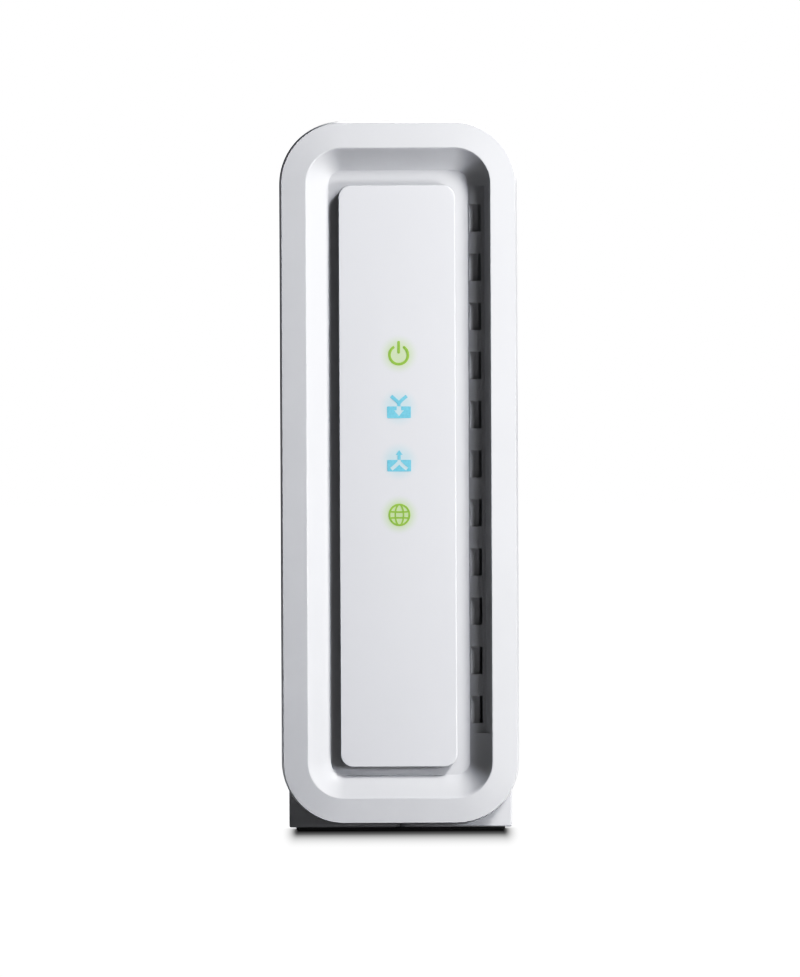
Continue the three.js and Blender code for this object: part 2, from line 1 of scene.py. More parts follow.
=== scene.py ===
"""An upright white modem, standing on two rubber feet on the floor at z = 0.

X runs across its width, Y from front (-Y) to rear (+Y) and Z up. Shapes are given in
millimetres and scaled to metres as each mesh is made.
"""
import json
import math
from contextlib import contextmanager
from functools import partial

import bmesh
import bpy
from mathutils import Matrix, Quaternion, Vector


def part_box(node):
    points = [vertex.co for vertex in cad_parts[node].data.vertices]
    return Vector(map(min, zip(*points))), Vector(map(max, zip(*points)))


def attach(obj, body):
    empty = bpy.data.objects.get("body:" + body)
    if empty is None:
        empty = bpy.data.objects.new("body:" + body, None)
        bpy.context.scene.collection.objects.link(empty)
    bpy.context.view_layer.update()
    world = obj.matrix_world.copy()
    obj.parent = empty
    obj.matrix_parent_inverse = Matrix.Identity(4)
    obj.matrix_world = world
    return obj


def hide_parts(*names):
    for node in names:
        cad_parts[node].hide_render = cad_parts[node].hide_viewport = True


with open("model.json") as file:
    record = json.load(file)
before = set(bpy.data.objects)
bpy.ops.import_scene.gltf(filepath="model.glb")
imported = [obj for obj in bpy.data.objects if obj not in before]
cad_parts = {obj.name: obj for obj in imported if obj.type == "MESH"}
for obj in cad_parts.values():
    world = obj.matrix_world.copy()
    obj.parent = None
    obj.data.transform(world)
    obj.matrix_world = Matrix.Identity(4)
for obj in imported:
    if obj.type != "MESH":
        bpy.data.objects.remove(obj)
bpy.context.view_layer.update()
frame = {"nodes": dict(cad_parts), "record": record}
NODES = frame["nodes"]
MM = 0.001
scene = bpy.context.scene

# ---------------------------------------------------------------- shared sizes, mm
BEZEL_HALF, BEZEL_Z0, BEZEL_Z1, BEZEL_RADIUS = 22.65, 1.4, 135.3, 12.0
SHELL_HALF, SHELL_Z0, SHELL_Z1, SHELL_RADIUS = 21.25, 0.7, 133.7, 10.6
PLATE_X, PLATE_FRONT = -0.3, -64.1
PEGS = [(x, z) for x in (-8.2, 8.2) for z in (21, 67.5, 114)]  # on the status plate: x, z
BOSSES = ((-45, 14), (-45, 119), (46, 119), (14, 22.4))  # inside the left shell: y, z
SCREWS = ((-14.5, 124.5), (14.5, 8.5))  # left shell, right shell: x, z
FEET = (("front_foot", -55.5, -43.5), ("rear_foot", 43.0, 55.0))  # name, y from, y to
FOOT_HALF, FOOT_GAP = 19.9, 0.1
# connectors on the rear panel
CONNECTOR_X0, PANEL_GAP = -7.45, 0.15
ETHERNET_X1, ETHERNET_Z, ETHERNET_HALF = 6.05, 77.0, 8
COAX_X, COAX_Z = -0.5, 37.0
POWER_X, POWER_X1, POWER_Z, POWER_HALF = -1.0, 3.55, 16.0, 4.5
RESET_X, RESET_Z = -3.6, 57.0
LAMPS = ("power", "downstream", "upstream", "online")
ICON_Z = [sum(corner.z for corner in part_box(lamp + "_led")) / 2 / MM for lamp in LAMPS]
ICON_Y0, ICON_Y1 = PLATE_FRONT - 0.045, PLATE_FRONT + 0.1  # a hair proud of the plate


# ---------------------------------------------------------------- outlines
def fillet(points, seg=5):
    """Rounds an open polyline of (a, b) or (a, b, radius) at each point with a radius."""
    out = []
    for i, point in enumerate(points):
        radius = point[2] if len(point) > 2 else 0
        if radius <= 0 or i in (0, len(points) - 1):
            out.append(point[:2])
            continue
        corner = Vector(point[:2])
        back, ahead = Vector(points[i - 1][:2]) - corner, Vector(points[i + 1][:2]) - corner
        back_length, ahead_length = back.length, ahead.length
        back.normalize()
        ahead.normalize()
        angle = math.acos(max(-1, min(1, back.dot(ahead))))
        if angle > math.pi - 1e-3:
            out.append(point[:2])
            continue
        trim = min(radius / math.tan(angle / 2), back_length * 0.49, ahead_length * 0.49)
        radius = trim * math.tan(angle / 2)
        centre = corner + (back + ahead).normalized() * (radius / math.sin(angle / 2))
        start, end = corner + back * trim, corner + ahead * trim
        first = math.atan2(start.y - centre.y, start.x - centre.x)
        last = math.atan2(end.y - centre.y, end.x - centre.x)
        turn = (last - first + math.pi) % (2 * math.pi) - math.pi
        for k in range(seg + 1):
            angle = first + turn * k / seg
            out.append((centre.x + radius * math.cos(angle), centre.y + radius * math.sin(angle)))
    return out


def rounded_rect(x0, x1, z0, z1, radii, seg):
    """radii: one number, or lower-left, lower-right, upper-right, upper-left."""
    radii = list(radii) if isinstance(radii, (list, tuple)) else [radii] * 4
    low_left, low_right, up_right, up_left = [max(radius, 0.02) for radius in radii]
    corners = [
        (x0 + low_left, z0 + low_left, math.pi, low_left),
        (x1 - low_right, z0 + low_right, 1.5 * math.pi, low_right),
        (x1 - up_right, z1 - up_right, 0.0, up_right),
        (x0 + up_left, z1 - up_left, 0.5 * math.pi, up_left),
    ]
    points = []
    for x, z, start, radius in corners:
        for i in range(seg + 1):
            angle = start + i / seg * math.pi / 2
            points.append((x + radius * math.cos(angle), z + radius * math.sin(angle)))
    return points


def rectangle(x0, x1, z0, z1):
    return [(x0, z0), (x1, z0), (x1, z1), (x0, z1)]


def circle(x, z, radius, seg):
    """Points round a centre; radius is a number or a function of the angle."""
    points = []
    for i in range(seg):
        angle = math.tau * i / seg
        reach = radius(angle) if callable(radius) else radius
        points.append((x + reach * math.cos(angle), z + reach * math.sin(angle)))
    return points


def bezier(start, pull, end, steps):
    return [tuple((1 - t) ** 2 * a + 2 * t * (1 - t) * b + t * t * c
                  for a, b, c in zip(start, pull, end))
            for t in (i / steps for i in range(steps + 1))]


def with_tangents(path):
    """Each point of a path, with its unit direction there."""
    for i, point in enumerate(path):
        before, after = path[max(i - 1, 0)], path[min(i + 1, len(path) - 1)]
        yield point, Vector((after[0] - before[0], after[1] - before[1])).normalized()


def at_y(points, y):
    return [(x, y, z) for x, z in points]


def at_z(points, z):
    return [(x, y, z) for x, y in points]


# ---------------------------------------------------------------- solids
@contextmanager
def editing(mesh):
    """Opens a mesh for editing, then writes it back with its faces turned outward."""
    edit = bmesh.new()
    edit.from_mesh(mesh)
    yield edit
    bmesh.ops.recalc_face_normals(edit, faces=edit.faces)
    edit.to_mesh(mesh)
    edit.free()


def new_object(name, verts, faces):
    mesh = bpy.data.meshes.new(name)
    mesh.from_pydata([tuple(c * MM for c in vert) for vert in verts], [], faces)
    mesh.validate()
    part = bpy.data.objects.new(name, mesh)
    scene.collection.objects.link(part)
    with editing(mesh):
        pass  # only turns the faces outward
    return part


def loft(rings, name="tool", closed=False):
    """Skins rings of equal length. closed joins the last to the first, else ends are capped."""
    size, count = len(rings[0]), len(rings)
    faces = []
    for k in range(count if closed else count - 1):
        here, there = k * size, ((k + 1) % count) * size
        for i in range(size):
            j = (i + 1) % size
            faces.append((here + i, here + j, there + j, there + i))
    if not closed:
        faces.append(tuple(range(size))[::-1])
        faces.append(tuple((count - 1) * size + i for i in range(size)))
    return new_object(name, [vert for ring in rings for vert in ring], faces)


def prism(outline, y0, y1, name="tool"):
    return loft([at_y(outline, y) for y in (y0, y1)], name)


def box(x0, x1, y0, y1, z0, z1, name="tool"):
    return prism(rectangle(x0, x1, z0, z1), y0, y1, name)


def stacked(bounds, radii, seg, stations, name):
    """Rounded rectangle (x0, x1, z0, z1) lofted through (inset, y) stations.

    radii may be a function of the inset."""
    x0, x1, z0, z1 = bounds
    rings = []
    for inset, y in stations:
        corners = radii(inset) if callable(radii) else radii
        rings.append(at_y(rounded_rect(x0 + inset, x1 - inset, z0 + inset, z1 - inset,
                                       corners, seg), y))
    return loft(rings, name)


def turned(x, z, profile, seg, vary=None, name="tool", closed=False):
    """Solid turned about a line along Y from (radius, y). vary(radius, y, angle) reshapes it."""
    rings = []
    for radius, y in profile:
        reach = partial(vary, radius, y) if vary else radius
        rings.append(at_y(circle(x, z, reach, seg), y))
    return loft(rings, name, closed)


def cylinder(x, z, radius, y0, y1, seg):
    return turned(x, z, [(radius, y0), (radius, y1)], seg)


def cross_rod(y, z, radius, x0, x1, seg):
    """Cylinder lying along X."""
    return loft([[(x, v, w) for v, w in circle(y, z, radius, seg)] for x in (x0, x1)])


def thread_wave(y, angle, pitch):
    """Triangle wave from 1 down to 0 and back, once per turn of the thread."""
    return abs(2 * ((y / pitch - angle / math.tau) % 1.0) - 1)


def merge(parts, name="tool"):
    """Puts several meshes into one object, without cutting them together."""
    edit = bmesh.new()
    for part in parts:
        edit.from_mesh(part.data)
    mesh = bpy.data.meshes.new(name)
    edit.to_mesh(mesh)
    edit.free()
    for part in parts:
        bpy.data.objects.remove(part)
    merged = bpy.data.objects.new(name, mesh)
    scene.collection.objects.link(merged)
    return merged


def boolean(part, tool, operation="DIFFERENCE"):
    """Cuts, adds or intersects the tool, and uses it up."""
    modifier = part.modifiers.new("b", "BOOLEAN")
    modifier.operation, modifier.object, modifier.solver = operation, tool, "EXACT"
    graph = bpy.context.evaluated_depsgraph_get()
    mesh = bpy.data.meshes.new_from_object(part.evaluated_get(graph), depsgraph=graph)
    part.modifiers.clear()
    part.data = mesh
    bpy.data.objects.remove(tool)


def clean(part, distance=0.0015):
    with editing(part.data) as edit:
        bmesh.ops.remove_doubles(edit, verts=edit.verts, dist=distance * MM)
        bmesh.ops.dissolve_degenerate(edit, edges=edit.edges, dist=distance * MM)


def bevel(part, width, chosen):
    """Rounds the sharp edges whose midpoint, in mm, is chosen."""
    with editing(part.data) as edit:
        sharp = []
        for edge in edit.edges:
            if len(edge.link_faces) == 2 and edge.calc_face_angle(0) > math.radians(50):
                middle = (edge.verts[0].co + edge.verts[1].co) / 2 / MM
                if chosen(middle):
                    sharp.append(edge)
        bmesh.ops.bevel(edit, geom=sharp, offset=width * MM, offset_type="OFFSET", segments=2,
                        profile=0.5, affect="EDGES", clamp_overlap=True)


def finish(part, slot, *replaced, angle=32, body="modem"):
    """Shades a part, gives it its material and says which body and CAD pieces it stands for."""
    part.data.shade_smooth()
    part.data.set_sharp_from_angle(angle=math.radians(angle))
    # large flats keep their own normal up to the eased edges
    even = part.modifiers.new("even", "WEIGHTED_NORMAL")
    even.mode = "FACE_AREA"
    even.weight = 50
    even.keep_sharp = True
    part.data.materials.clear()
    part.data.materials.append(MATERIALS[slot])
    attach(part, body)
    if replaced:
        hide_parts(*replaced)


# ---------------------------------------------------------------- materials
MATERIALS = {}


def srgb(red, green, blue):
    """Linear colour from 0-255 values."""
    return tuple((c / 255 / 12.92) if c / 255 <= 0.04045 else ((c / 255 + 0.055) / 1.055) ** 2.4
                 for c in (red, green, blue))


def dim(color, factor):
    return tuple(c * factor for c in color)


class Shader:
    """A named material with a Principled surface, and short ways to add nodes to it."""

    def __init__(self, name):
        self.material = bpy.data.materials.new(name)
        MATERIALS[name] = self.material
        self.material.use_nodes = True
        self.tree = self.material.node_tree
        self.tree.nodes.clear()
        self.output = self.node("ShaderNodeOutputMaterial")
        self.surface = self.node("ShaderNodeBsdfPrincipled")
        self.link(self.surface.outputs[0], self.output.inputs[0])
        self.coords = self.node("ShaderNodeTexCoord").outputs["Object"]

    def node(self, kind, **settings):
        node = self.tree.nodes.new(kind)
        for key, value in settings.items():
            setattr(node, key, value)
        return node

    def link(self, source, socket):
        self.tree.links.new(source, socket)

    def feed(self, socket, value):
        """value: a number, a colour or another node's output."""
        if isinstance(value, (int, float)):
            socket.default_value = value
        elif isinstance(value, tuple):
            socket.default_value = (*value, 1)
        else:
            self.link(value, socket)

    def set(self, name, value):
        self.feed(self.surface.inputs[name], value)

    def noise(self, scale, detail=3.0, rough=0.55, stretch=(1, 1, 1), offset=(0, 0, 0)):
        mapping = self.node("ShaderNodeMapping")
        self.link(self.coords, mapping.inputs[0])
        mapping.inputs["Scale"].default_value = stretch
        mapping.inputs["Location"].default_value = offset
        noise = self.node("ShaderNodeTexNoise")
        self.link(mapping.outputs[0], noise.inputs["Vector"])
        noise.inputs["Scale"].default_value = scale
        noise.inputs["Detail"].default_value = detail
        noise.inputs["Roughness"].default_value = rough
        return noise.outputs["Fac"]

    def ramp(self, source, to=(0, 1), over=(0.3, 0.7), shape="LINEAR"):
        """Maps the source's range `over` onto the range `to`."""
        ramp = self.node("ShaderNodeMapRange", interpolation_type=shape)
        self.link(source, ramp.inputs[0])
        for i, value in enumerate((*over, *to), 1):
            ramp.inputs[i].default_value = value
        return ramp.outputs[0]

    def math(self, operation, first, second=None):
        node = self.node("ShaderNodeMath", operation=operation)
        self.feed(node.inputs[0], first)
        if second is not None:
            self.feed(node.inputs[1], second)
        return node.outputs[0]

    def times(self, first, second):
        return self.math("MULTIPLY", first, second)

    def plus(self, first, second):
        return self.math("ADD", first, second)

    def minus(self, first, second):
        return self.math("SUBTRACT", first, second)

    def hypot(self, first, second):
        return self.math("SQRT", self.plus(self.times(first, first), self.times(second, second)))

    def axes(self, vector):
        split = self.node("ShaderNodeSeparateXYZ")
        self.link(vector, split.inputs[0])
        return split.outputs

    def mix(self, factor, first, second):
        node = self.node("ShaderNodeMix", data_type="RGBA")
        self.link(factor, node.inputs[0])
        self.feed(node.inputs[6], first)
        self.feed(node.inputs[7], second)
        return node.outputs[2]

    def blend(self, factor, first, second):
        """Mixes two shaders."""
        node = self.node("ShaderNodeMixShader")
        for i, source in enumerate((factor, first, second)):
            self.link(source, node.inputs[i])
        return node.outputs[0]

    def edges(self):
        pointed = self.node("ShaderNodeNewGeometry").outputs["Pointiness"]
        return self.ramp(pointed, over=(0.52, 0.62))

    def bump(self, height, strength, distance_mm):
        bump = self.node("ShaderNodeBump")
        bump.inputs["Strength"].default_value = strength
        bump.inputs["Distance"].default_value = distance_mm * MM
        self.link(height, bump.inputs["Height"])
        self.link(bump.outputs[0], self.surface.inputs["Normal"])


def plastic(name, color, rough, vary, grain, grain_mm, wear_and_edge_sheen=0.25, coat=0.0, bounce=1.0, under=0.0):
    """Moulded plastic: slow tone drift, flow marks in the gloss, fine grain, and pointed edges
    lightened in colour, partly rubbed wear and partly a painted edge highlight.

    vary: depth of the tone changes; grain, grain_mm: depth and size of the surface grain;
    bounce: share of colour kept for indirect light; under: fill on downward faces."""
    mat = Shader(name)
    slow = mat.noise(scale=1000 / 18.0)
    fine = mat.noise(scale=1000 / grain_mm, detail=2.0, rough=0.6)
    smear = mat.noise(scale=70, detail=4.0, rough=0.6, stretch=(1, 1, 0.35), offset=(3, 1, 2))
    base = mat.mix(mat.ramp(slow), dim(color, 1 - vary), dim(color, 1 + vary * 0.4))
    speckle = mat.ramp(fine, to=(0, vary * 2.0), over=(0.35, 0.75))
    base = mat.mix(speckle, base, dim(color, 0.86))
    # pointed edges are lightened in the base colour: partly rubbed wear, partly a painted
    # highlight along the edges
    edge = mat.edges()
    rubbed_and_highlit = tuple(min(1, c * 1.1 + 0.02) for c in color)
    base = mat.mix(mat.times(edge, wear_and_edge_sheen * 0.35), base, rubbed_and_highlit)
    if bounce < 1:
        # light passed between two white walls is held back, so recesses keep their shade
        indirect = mat.node("ShaderNodeLightPath").outputs["Is Diffuse Ray"]
        base = mat.mix(indirect, base, dim(color, bounce))
    mat.set("Base Color", base)
    gloss = mat.ramp(smear, to=(rough - 0.05, rough + 0.06))
    gloss = mat.plus(gloss, mat.times(mat.ramp(fine, to=(-0.03, 0.03)), 1.0))
    mat.set("Roughness", mat.minus(gloss, mat.times(edge, 0.08 * wear_and_edge_sheen)))
    mat.set("IOR", 1.5)
    if coat:
        mat.set("Coat Weight", coat)
        mat.set("Coat Roughness", 0.12)
    mat.bump(mat.plus(fine, mat.times(slow, 0.4)), strength=grain, distance_mm=0.02)
    if under:
        # seen from below the resting plane, downward faces get a little fill of their own
        geometry = mat.node("ShaderNodeNewGeometry")
        toward = mat.axes(geometry.outputs["Incoming"])[2]
        normal = mat.axes(geometry.outputs["Normal"])[2]
        below = mat.math("MAXIMUM", mat.times(toward, -6.0), 0.0)
        below = mat.math("MINIMUM", below, 1.0)
        down = mat.math("MAXIMUM", mat.times(normal, -1.0), 0.0)
        mat.set("Emission Color", base)
        mat.set("Emission Strength", mat.times(mat.times(below, down), under))
    return mat


def metal(name, color, rough, brush, scratch=0.25, vary=0.08, spots=1.0):
    """Plated or bare metal: drawn direction, fine scratches, tarnish drift, brighter edges.

    brush: stretch of the scratches; scratch: their depth; spots: strength of the tarnish."""
    mat = Shader(name)
    slow = mat.noise(scale=140, detail=4.0)
    line = mat.noise(scale=2600, rough=0.6, stretch=brush)
    spot = mat.noise(scale=900, detail=5.0, rough=0.7, offset=(5, 2, 1))
    base = mat.mix(mat.ramp(slow), dim(color, 1 - vary), dim(color, 1 + vary * 0.5))
    tarnish = mat.ramp(spot, to=(0, 0.25 * spots), over=(0.58, 0.75))
    base = mat.mix(tarnish, base, dim(color, 0.6))
    bright = tuple(min(1, c * 1.2) for c in color)
    mat.set("Base Color", mat.mix(mat.times(mat.edges(), 0.5), base, bright))
    mat.set("Metallic", 1.0)
    drawn = mat.ramp(line, to=(rough - 0.08, rough + 0.1))
    mat.set("Roughness", mat.plus(drawn, mat.times(mat.ramp(spot, to=(0, 0.12 * spots)), 1.0)))
    mat.bump(line, strength=scratch, distance_mm=0.01)


def board_material():
    """Solder mask over copper: traces and plated via dots."""
    mat = Shader("board_green")
    mapping = mat.node("ShaderNodeMapping")
    mat.link(mat.coords, mapping.inputs[0])
    cells = mat.node("ShaderNodeTexVoronoi", distance="EUCLIDEAN", feature="DISTANCE_TO_EDGE")
    dots = mat.node("ShaderNodeTexVoronoi", distance="CHEBYCHEV", feature="F1")
    for texture, scale in ((cells, 260), (dots, 620)):
        mat.link(mapping.outputs[0], texture.inputs["Vector"])
        texture.inputs["Scale"].default_value = scale
    trace = mat.ramp(cells.outputs[0], to=(1, 0), over=(0.02, 0.035))
    via = mat.ramp(dots.outputs["Distance"], to=(1, 0), over=(0.10, 0.13))
    weave = mat.noise(scale=1500, detail=2.0, rough=0.5)
    base = mat.mix(mat.ramp(weave), (0.008, 0.085, 0.035), (0.012, 0.11, 0.05))
    base = mat.mix(mat.times(trace, 0.6), base, (0.02, 0.20, 0.09))
    mat.set("Base Color", mat.mix(via, base, (0.62, 0.55, 0.38)))
    mat.set("Metallic", mat.times(via, 0.9))
    mat.set("Roughness", mat.ramp(weave, to=(0.28, 0.42)))
    height = mat.plus(mat.times(trace, 0.7), mat.plus(via, mat.times(weave, 0.3)))
    mat.bump(height, strength=0.4, distance_mm=0.03)


def label_material():
    mat = Shader("label_paper")
    fibre = mat.noise(scale=1800, detail=4.0, rough=0.65, stretch=(1, 1, 0.3))
    slow = mat.noise(scale=90, detail=2.0)
    base = mat.mix(mat.ramp(fibre), (0.52, 0.53, 0.54), (0.57, 0.58, 0.59))
    mat.set("Base Color", mat.mix(mat.ramp(slow, to=(0, 0.10)), base, (0.49, 0.50, 0.51)))
    mat.set("Roughness", mat.ramp(fibre, to=(0.40, 0.52)))
    mat.bump(fibre, strength=0.15, distance_mm=0.01)


def acrylic_material():
    mat = Shader("clear_acrylic")
    swirl = mat.noise(scale=120)
    mat.set("Base Color", mat.mix(mat.ramp(swirl), (0.84, 0.92, 0.95), (0.92, 0.96, 0.98)))
    mat.set("Transmission Weight", 0.85)
    mat.set("IOR", 1.49)
    mat.set("Roughness", mat.ramp(swirl, to=(0.06, 0.16)))
    mat.bump(swirl, strength=0.08, distance_mm=0.02)


def lamp_material(name, color):
    """Lightly glowing symbol."""
    mat = Shader(name)
    fleck = mat.noise(scale=2200, detail=2.0)
    mat.set("Base Color", mat.mix(mat.ramp(fleck), dim(color, 0.9), color))
    mat.set("Roughness", mat.ramp(fleck, to=(0.36, 0.46)))
    mat.set("Specular IOR Level", 0.3)
    mat.set("Emission Color", color)
    mat.set("Emission Strength", mat.ramp(fleck, to=(0.10, 0.16)))
    mat.bump(fleck, strength=0.1, distance_mm=0.01)


WHITE_BOUNCE = 0.25
# colour of the painted lamp glow round each symbol, in the order of LAMPS
PAINTED_GLOW_TINTS = ((0.50, 0.63, 0.36), (0.49, 0.65, 0.71), (0.49, 0.65, 0.71), (0.46, 0.62, 0.30))


def plate_material():
    """Gloss white skin over the lamps, with their glow painted on: a soft tinted halo round each
    symbol, in the colour and as a faint emission.
    """
    mat = plastic("plate_white", srgb(218, 219, 224), rough=0.34, vary=0.012, grain=0.02,
                  grain_mm=0.3, coat=0.08, bounce=WHITE_BOUNCE)
    base = mat.surface.inputs["Base Color"].links[0].from_socket
    painted_glow = (0, 0, 0)
    x, _, z = mat.axes(mat.coords)
    for icon_z, tint in zip(ICON_Z, PAINTED_GLOW_TINTS):
        distance = mat.hypot(x, mat.minus(z, icon_z * MM))
        # painted glow: near each lamp the plate's colour is tinted and made to glow faintly
        near = mat.ramp(distance, to=(0.75, 0.0), over=(1.4 * MM, 4.0 * MM), shape="SMOOTHSTEP")
        base = mat.mix(near, base, tint)
        painted_glow = mat.mix(near, painted_glow, tint)
    mat.set("Base Color", base)
    mat.set("Emission Color", painted_glow)
    mat.set("Emission Strength", 0.02)


def make_materials():
    plastic("casing_white", srgb(212, 213, 217), rough=0.36, vary=0.018, grain=0.05,
            grain_mm=0.22, bounce=WHITE_BOUNCE, under=0.5)
    plastic("panel_white", srgb(228, 229, 232), rough=0.52, vary=0.03, grain=0.30, grain_mm=0.35)
    plastic("foot_rubber", (0.012, 0.012, 0.013), rough=0.78, vary=0.25, grain=0.5,
            grain_mm=0.3, wear_and_edge_sheen=0.6, under=2.0)
    plastic("connector_black", (0.016, 0.016, 0.018), rough=0.45, vary=0.2, grain=0.3,
            grain_mm=0.25, wear_and_edge_sheen=0.8)
    plastic("switch_black", (0.02, 0.02, 0.022), rough=0.42, vary=0.2, grain=0.25,
            grain_mm=0.2, wear_and_edge_sheen=0.8)
    plastic("insulator", (0.80, 0.78, 0.70), rough=0.5, vary=0.05, grain=0.2, grain_mm=0.3)
    plastic("thermal_pad", (0.18, 0.26, 0.38), rough=0.8, vary=0.15, grain=0.5, grain_mm=0.5)
    plastic("ferrite", (0.045, 0.045, 0.05), rough=0.62, vary=0.3, grain=0.6, grain_mm=0.3,
            wear_and_edge_sheen=1.0)
    plastic("capacitor_sleeve", (0.012, 0.02, 0.06), rough=0.3, vary=0.15, grain=0.1,
            grain_mm=0.6)
    metal("aluminium", (0.72, 0.73, 0.75), rough=0.34, brush=(0.05, 0.05, 1))
    metal("screw_steel", (0.50, 0.51, 0.53), rough=0.3, brush=(1, 0.2, 1))
    metal("tinned_steel", (0.74, 0.75, 0.75), rough=0.26, brush=(1, 0.06, 1))
    metal("gold_contact", (0.88, 0.62, 0.20), rough=0.2, brush=(1, 0.1, 1), vary=0.05)
    metal("nickel", (0.60, 0.585, 0.55), rough=0.24, brush=(1, 1, 1), scratch=0.01, vary=0.03,
          spots=0.1)
    plastic("chip_black", (0.02, 0.02, 0.022), rough=0.55, vary=0.2, grain=0.5, grain_mm=0.12)
    board_material()
    label_material()
    acrylic_material()
    lamp_material("lamp_green", srgb(151, 180, 103))
    lamp_material("lamp_blue", srgb(136, 189, 210))
    plate_material()


make_materials()


# ---------------------------------------------------------------- front bezel
def bezel_outline(inset, seg):
    return rounded_rect(-BEZEL_HALF + inset, BEZEL_HALF - inset, BEZEL_Z0 + inset,
                        BEZEL_Z1 - inset, BEZEL_RADIUS - inset, seg)


def bezel_channel():
    """Cutter for the channel along the right-hand wall."""
    section = fillet([(17.2, -67.5), (17.2, -66.25, 0.3), (16.4, -63.78, 0.12),
                      (15.75, -63.55, 0.12), (13.25, -62.24), (13.25, -67.5)], 4)  # x, y, radius
    size = len(section)
    caps = [tuple(range(size)), tuple(range(2 * size - 1, size - 1, -1))]
    sides = [(i, (i + 1) % size, size + (i + 1) % size, size + i) for i in range(size)]
    return new_object("tool", [(x, y, z) for z in (18.8, 122.9) for x, y in section],
                      caps + sides)


def bezel_slots():
    """Cutter for the column of slots in the channel."""
    count, top_z, pitch, half_height = 11, 116.75, 9.35, 2.6
    stations = ((13.5, -68), (13.5, -62.2), (15.15, -62.0), (15.15, -57.4))  # inner x, y
    slots = []
    for i in range(count):
        z = top_z - i * pitch
        slots.append(loft([at_y(rounded_rect(x, 15.7, z - half_height, z + half_height,
                                             0.12, 3), y) for x, y in stations]))
    return merge(slots)


def make_bezel():
    # sections are (inset from the outline, y, radius)
    cove = bezier((9.4, -62.2), (7.1, -63.55), (5.42, -66.2), 14)
    rim = fillet([
        cove[-1], (5.12, -66.5, 0.28), (0.42, -65.97, 0.08), (0.0, -59.4, 1.0),
        (0.0, -58.0, 0.3), (1.8, -58.0, 0.2), (1.8, -64.1, 0.3), (4.6, -64.1, 0.3),
        (4.6, -54.5, 0.25), (6.0, -54.5, 0.25), (6.0, -62.4, 0.2), (7.2, -62.0), (8.9, -60.8),
    ])
    bezel = loft([at_y(bezel_outline(inset, 28), y) for inset, y in cove[:-1] + rim],
                 "bezel_shell")
    boolean(bezel, bezel_channel())
    boolean(bezel, bezel_slots())
    # openings behind the status plate: the window, then the peg holes
    openings = [box(-3.2, 3.2, -63.2, -60.0, 56.3, 94.9)]
    openings += [cylinder(x, z, 1.15, -63.2, -60.0, 24) for x, z in PEGS]
    boolean(bezel, merge(openings))
    for z in (51.5, 99.5):
        pin = turned(0, z, [(0.95, -61.2), (0.95, -59.1), (0.75, -58.9)], 24)
        boolean(bezel, pin, "UNION")
    clean(bezel)
    finish(bezel, "casing_white", "front_bezel", angle=30)


make_bezel()


# ---------------------------------------------------------------- status plate and its symbols
def make_plate():
    half, back, rib_half = 11.1, -62.26, 10.2
    profile = fillet([  # inset, y, radius
        (1.2, PLATE_FRONT), (0.0, PLATE_FRONT, 0.2), (0.0, back, 0.1), (1.3, back, 0.1),
        (1.3, PLATE_FRONT + 1.3, 0.1), (3.0, PLATE_FRONT + 1.3),
    ], 6)
    plate = stacked((PLATE_X - half, PLATE_X + half, 12.4, 123.0),
                    lambda inset: max(2.4 - inset, 0.3), 14, profile, "status_plate_shell")
    inside = PLATE_FRONT + 0.8  # where pegs and ribs start, within the front wall
    for x, z in PEGS:
        boolean(plate, turned(x, z, [(1.0, inside), (1.0, -60.3), (0.7, -60.0)], 24), "UNION")
    for z in (40, 106):
        rib = box(PLATE_X - rib_half, PLATE_X + rib_half, inside, -62.5, z - 0.6, z + 0.6)
        boolean(plate, rib, "UNION")
    clean(plate)
    finish(plate, "plate_white", "status_plate", angle=30)


def slab(outline, name="tool", extra=0):
    """A symbol piece; extra lengthens it at both faces for cutting."""
    return prism(outline, ICON_Y0 - extra, ICON_Y1 + extra, name)


def ellipse_point(z, radius_x, radius_z, angle, offset):
    """Point set off outward from an ellipse centred on x = 0."""
    cos, sin = math.cos(angle), math.sin(angle)
    normal = Vector((radius_z * cos, radius_x * sin)).normalized()
    return radius_x * cos + normal.x * offset, z + radius_z * sin + normal.y * offset


def ellipse_ring(z, radius_x, radius_z, width, name="tool"):
    seg, half = 72, width / 2
    rings = []
    for offset, y in ((half, ICON_Y0), (half, ICON_Y1), (-half, ICON_Y1), (-half, ICON_Y0)):
        rings.append(at_y([ellipse_point(z, radius_x, radius_z, math.tau * i / seg, offset)
                           for i in range(seg)], y))
    return loft(rings, name, closed=True)


def fork(z, sign, stem_z0, stem_z1, extra=0):
    """Two curved arms spreading up (sign 1) or down (-1) from z, with a straight stem."""
    half = 0.33
    arms = []
    for side in (1, -1):
        path = bezier((0.0, z), (0.35 * side, z + 0.55 * sign), (1.50 * side, z + 1.42 * sign), 10)
        left, right = [], []
        for point, along in with_tangents(path):
            left.append((point[0] - along.y * half, point[1] + along.x * half))
            right.append((point[0] + along.y * half, point[1] - along.x * half))
        arms.append(slab(left + right[::-1], extra=extra))
    boolean(arms[0], arms[1], "UNION")
    boolean(arms[0], slab(rectangle(-0.30, 0.30, stem_z0, stem_z1), extra=extra), "UNION")
    return arms[0]


def finish_icon(icon, slot):
    clean(icon, 0.002)
    finish(icon, slot, angle=30)


def make_power_icon(z):
    """Open ring and upright bar."""
    seg, radius, half = 60, 1.76, 0.48 / 2
    gap = math.radians(29)
    start, end = math.pi / 2 + gap, math.pi / 2 + 2 * math.pi - gap
    outer, inner = [[ellipse_point(z - 0.13, radius, radius, start + (end - start) * i / seg,
                                   offset) for i in range(seg + 1)] for offset in (half, -half)]
    ring = slab(outer + inner[::-1], "symbol_power")
    bar = slab(rounded_rect(-0.24, 0.24, z + 0.12, z + 2.55, 0.2, 6))
    finish_icon(merge([ring, bar], "symbol_power"), "lamp_green")


def tray(bottom, top, name):
    return slab(rounded_rect(-2.27, 2.27, bottom, top, 0.16, 5), name)


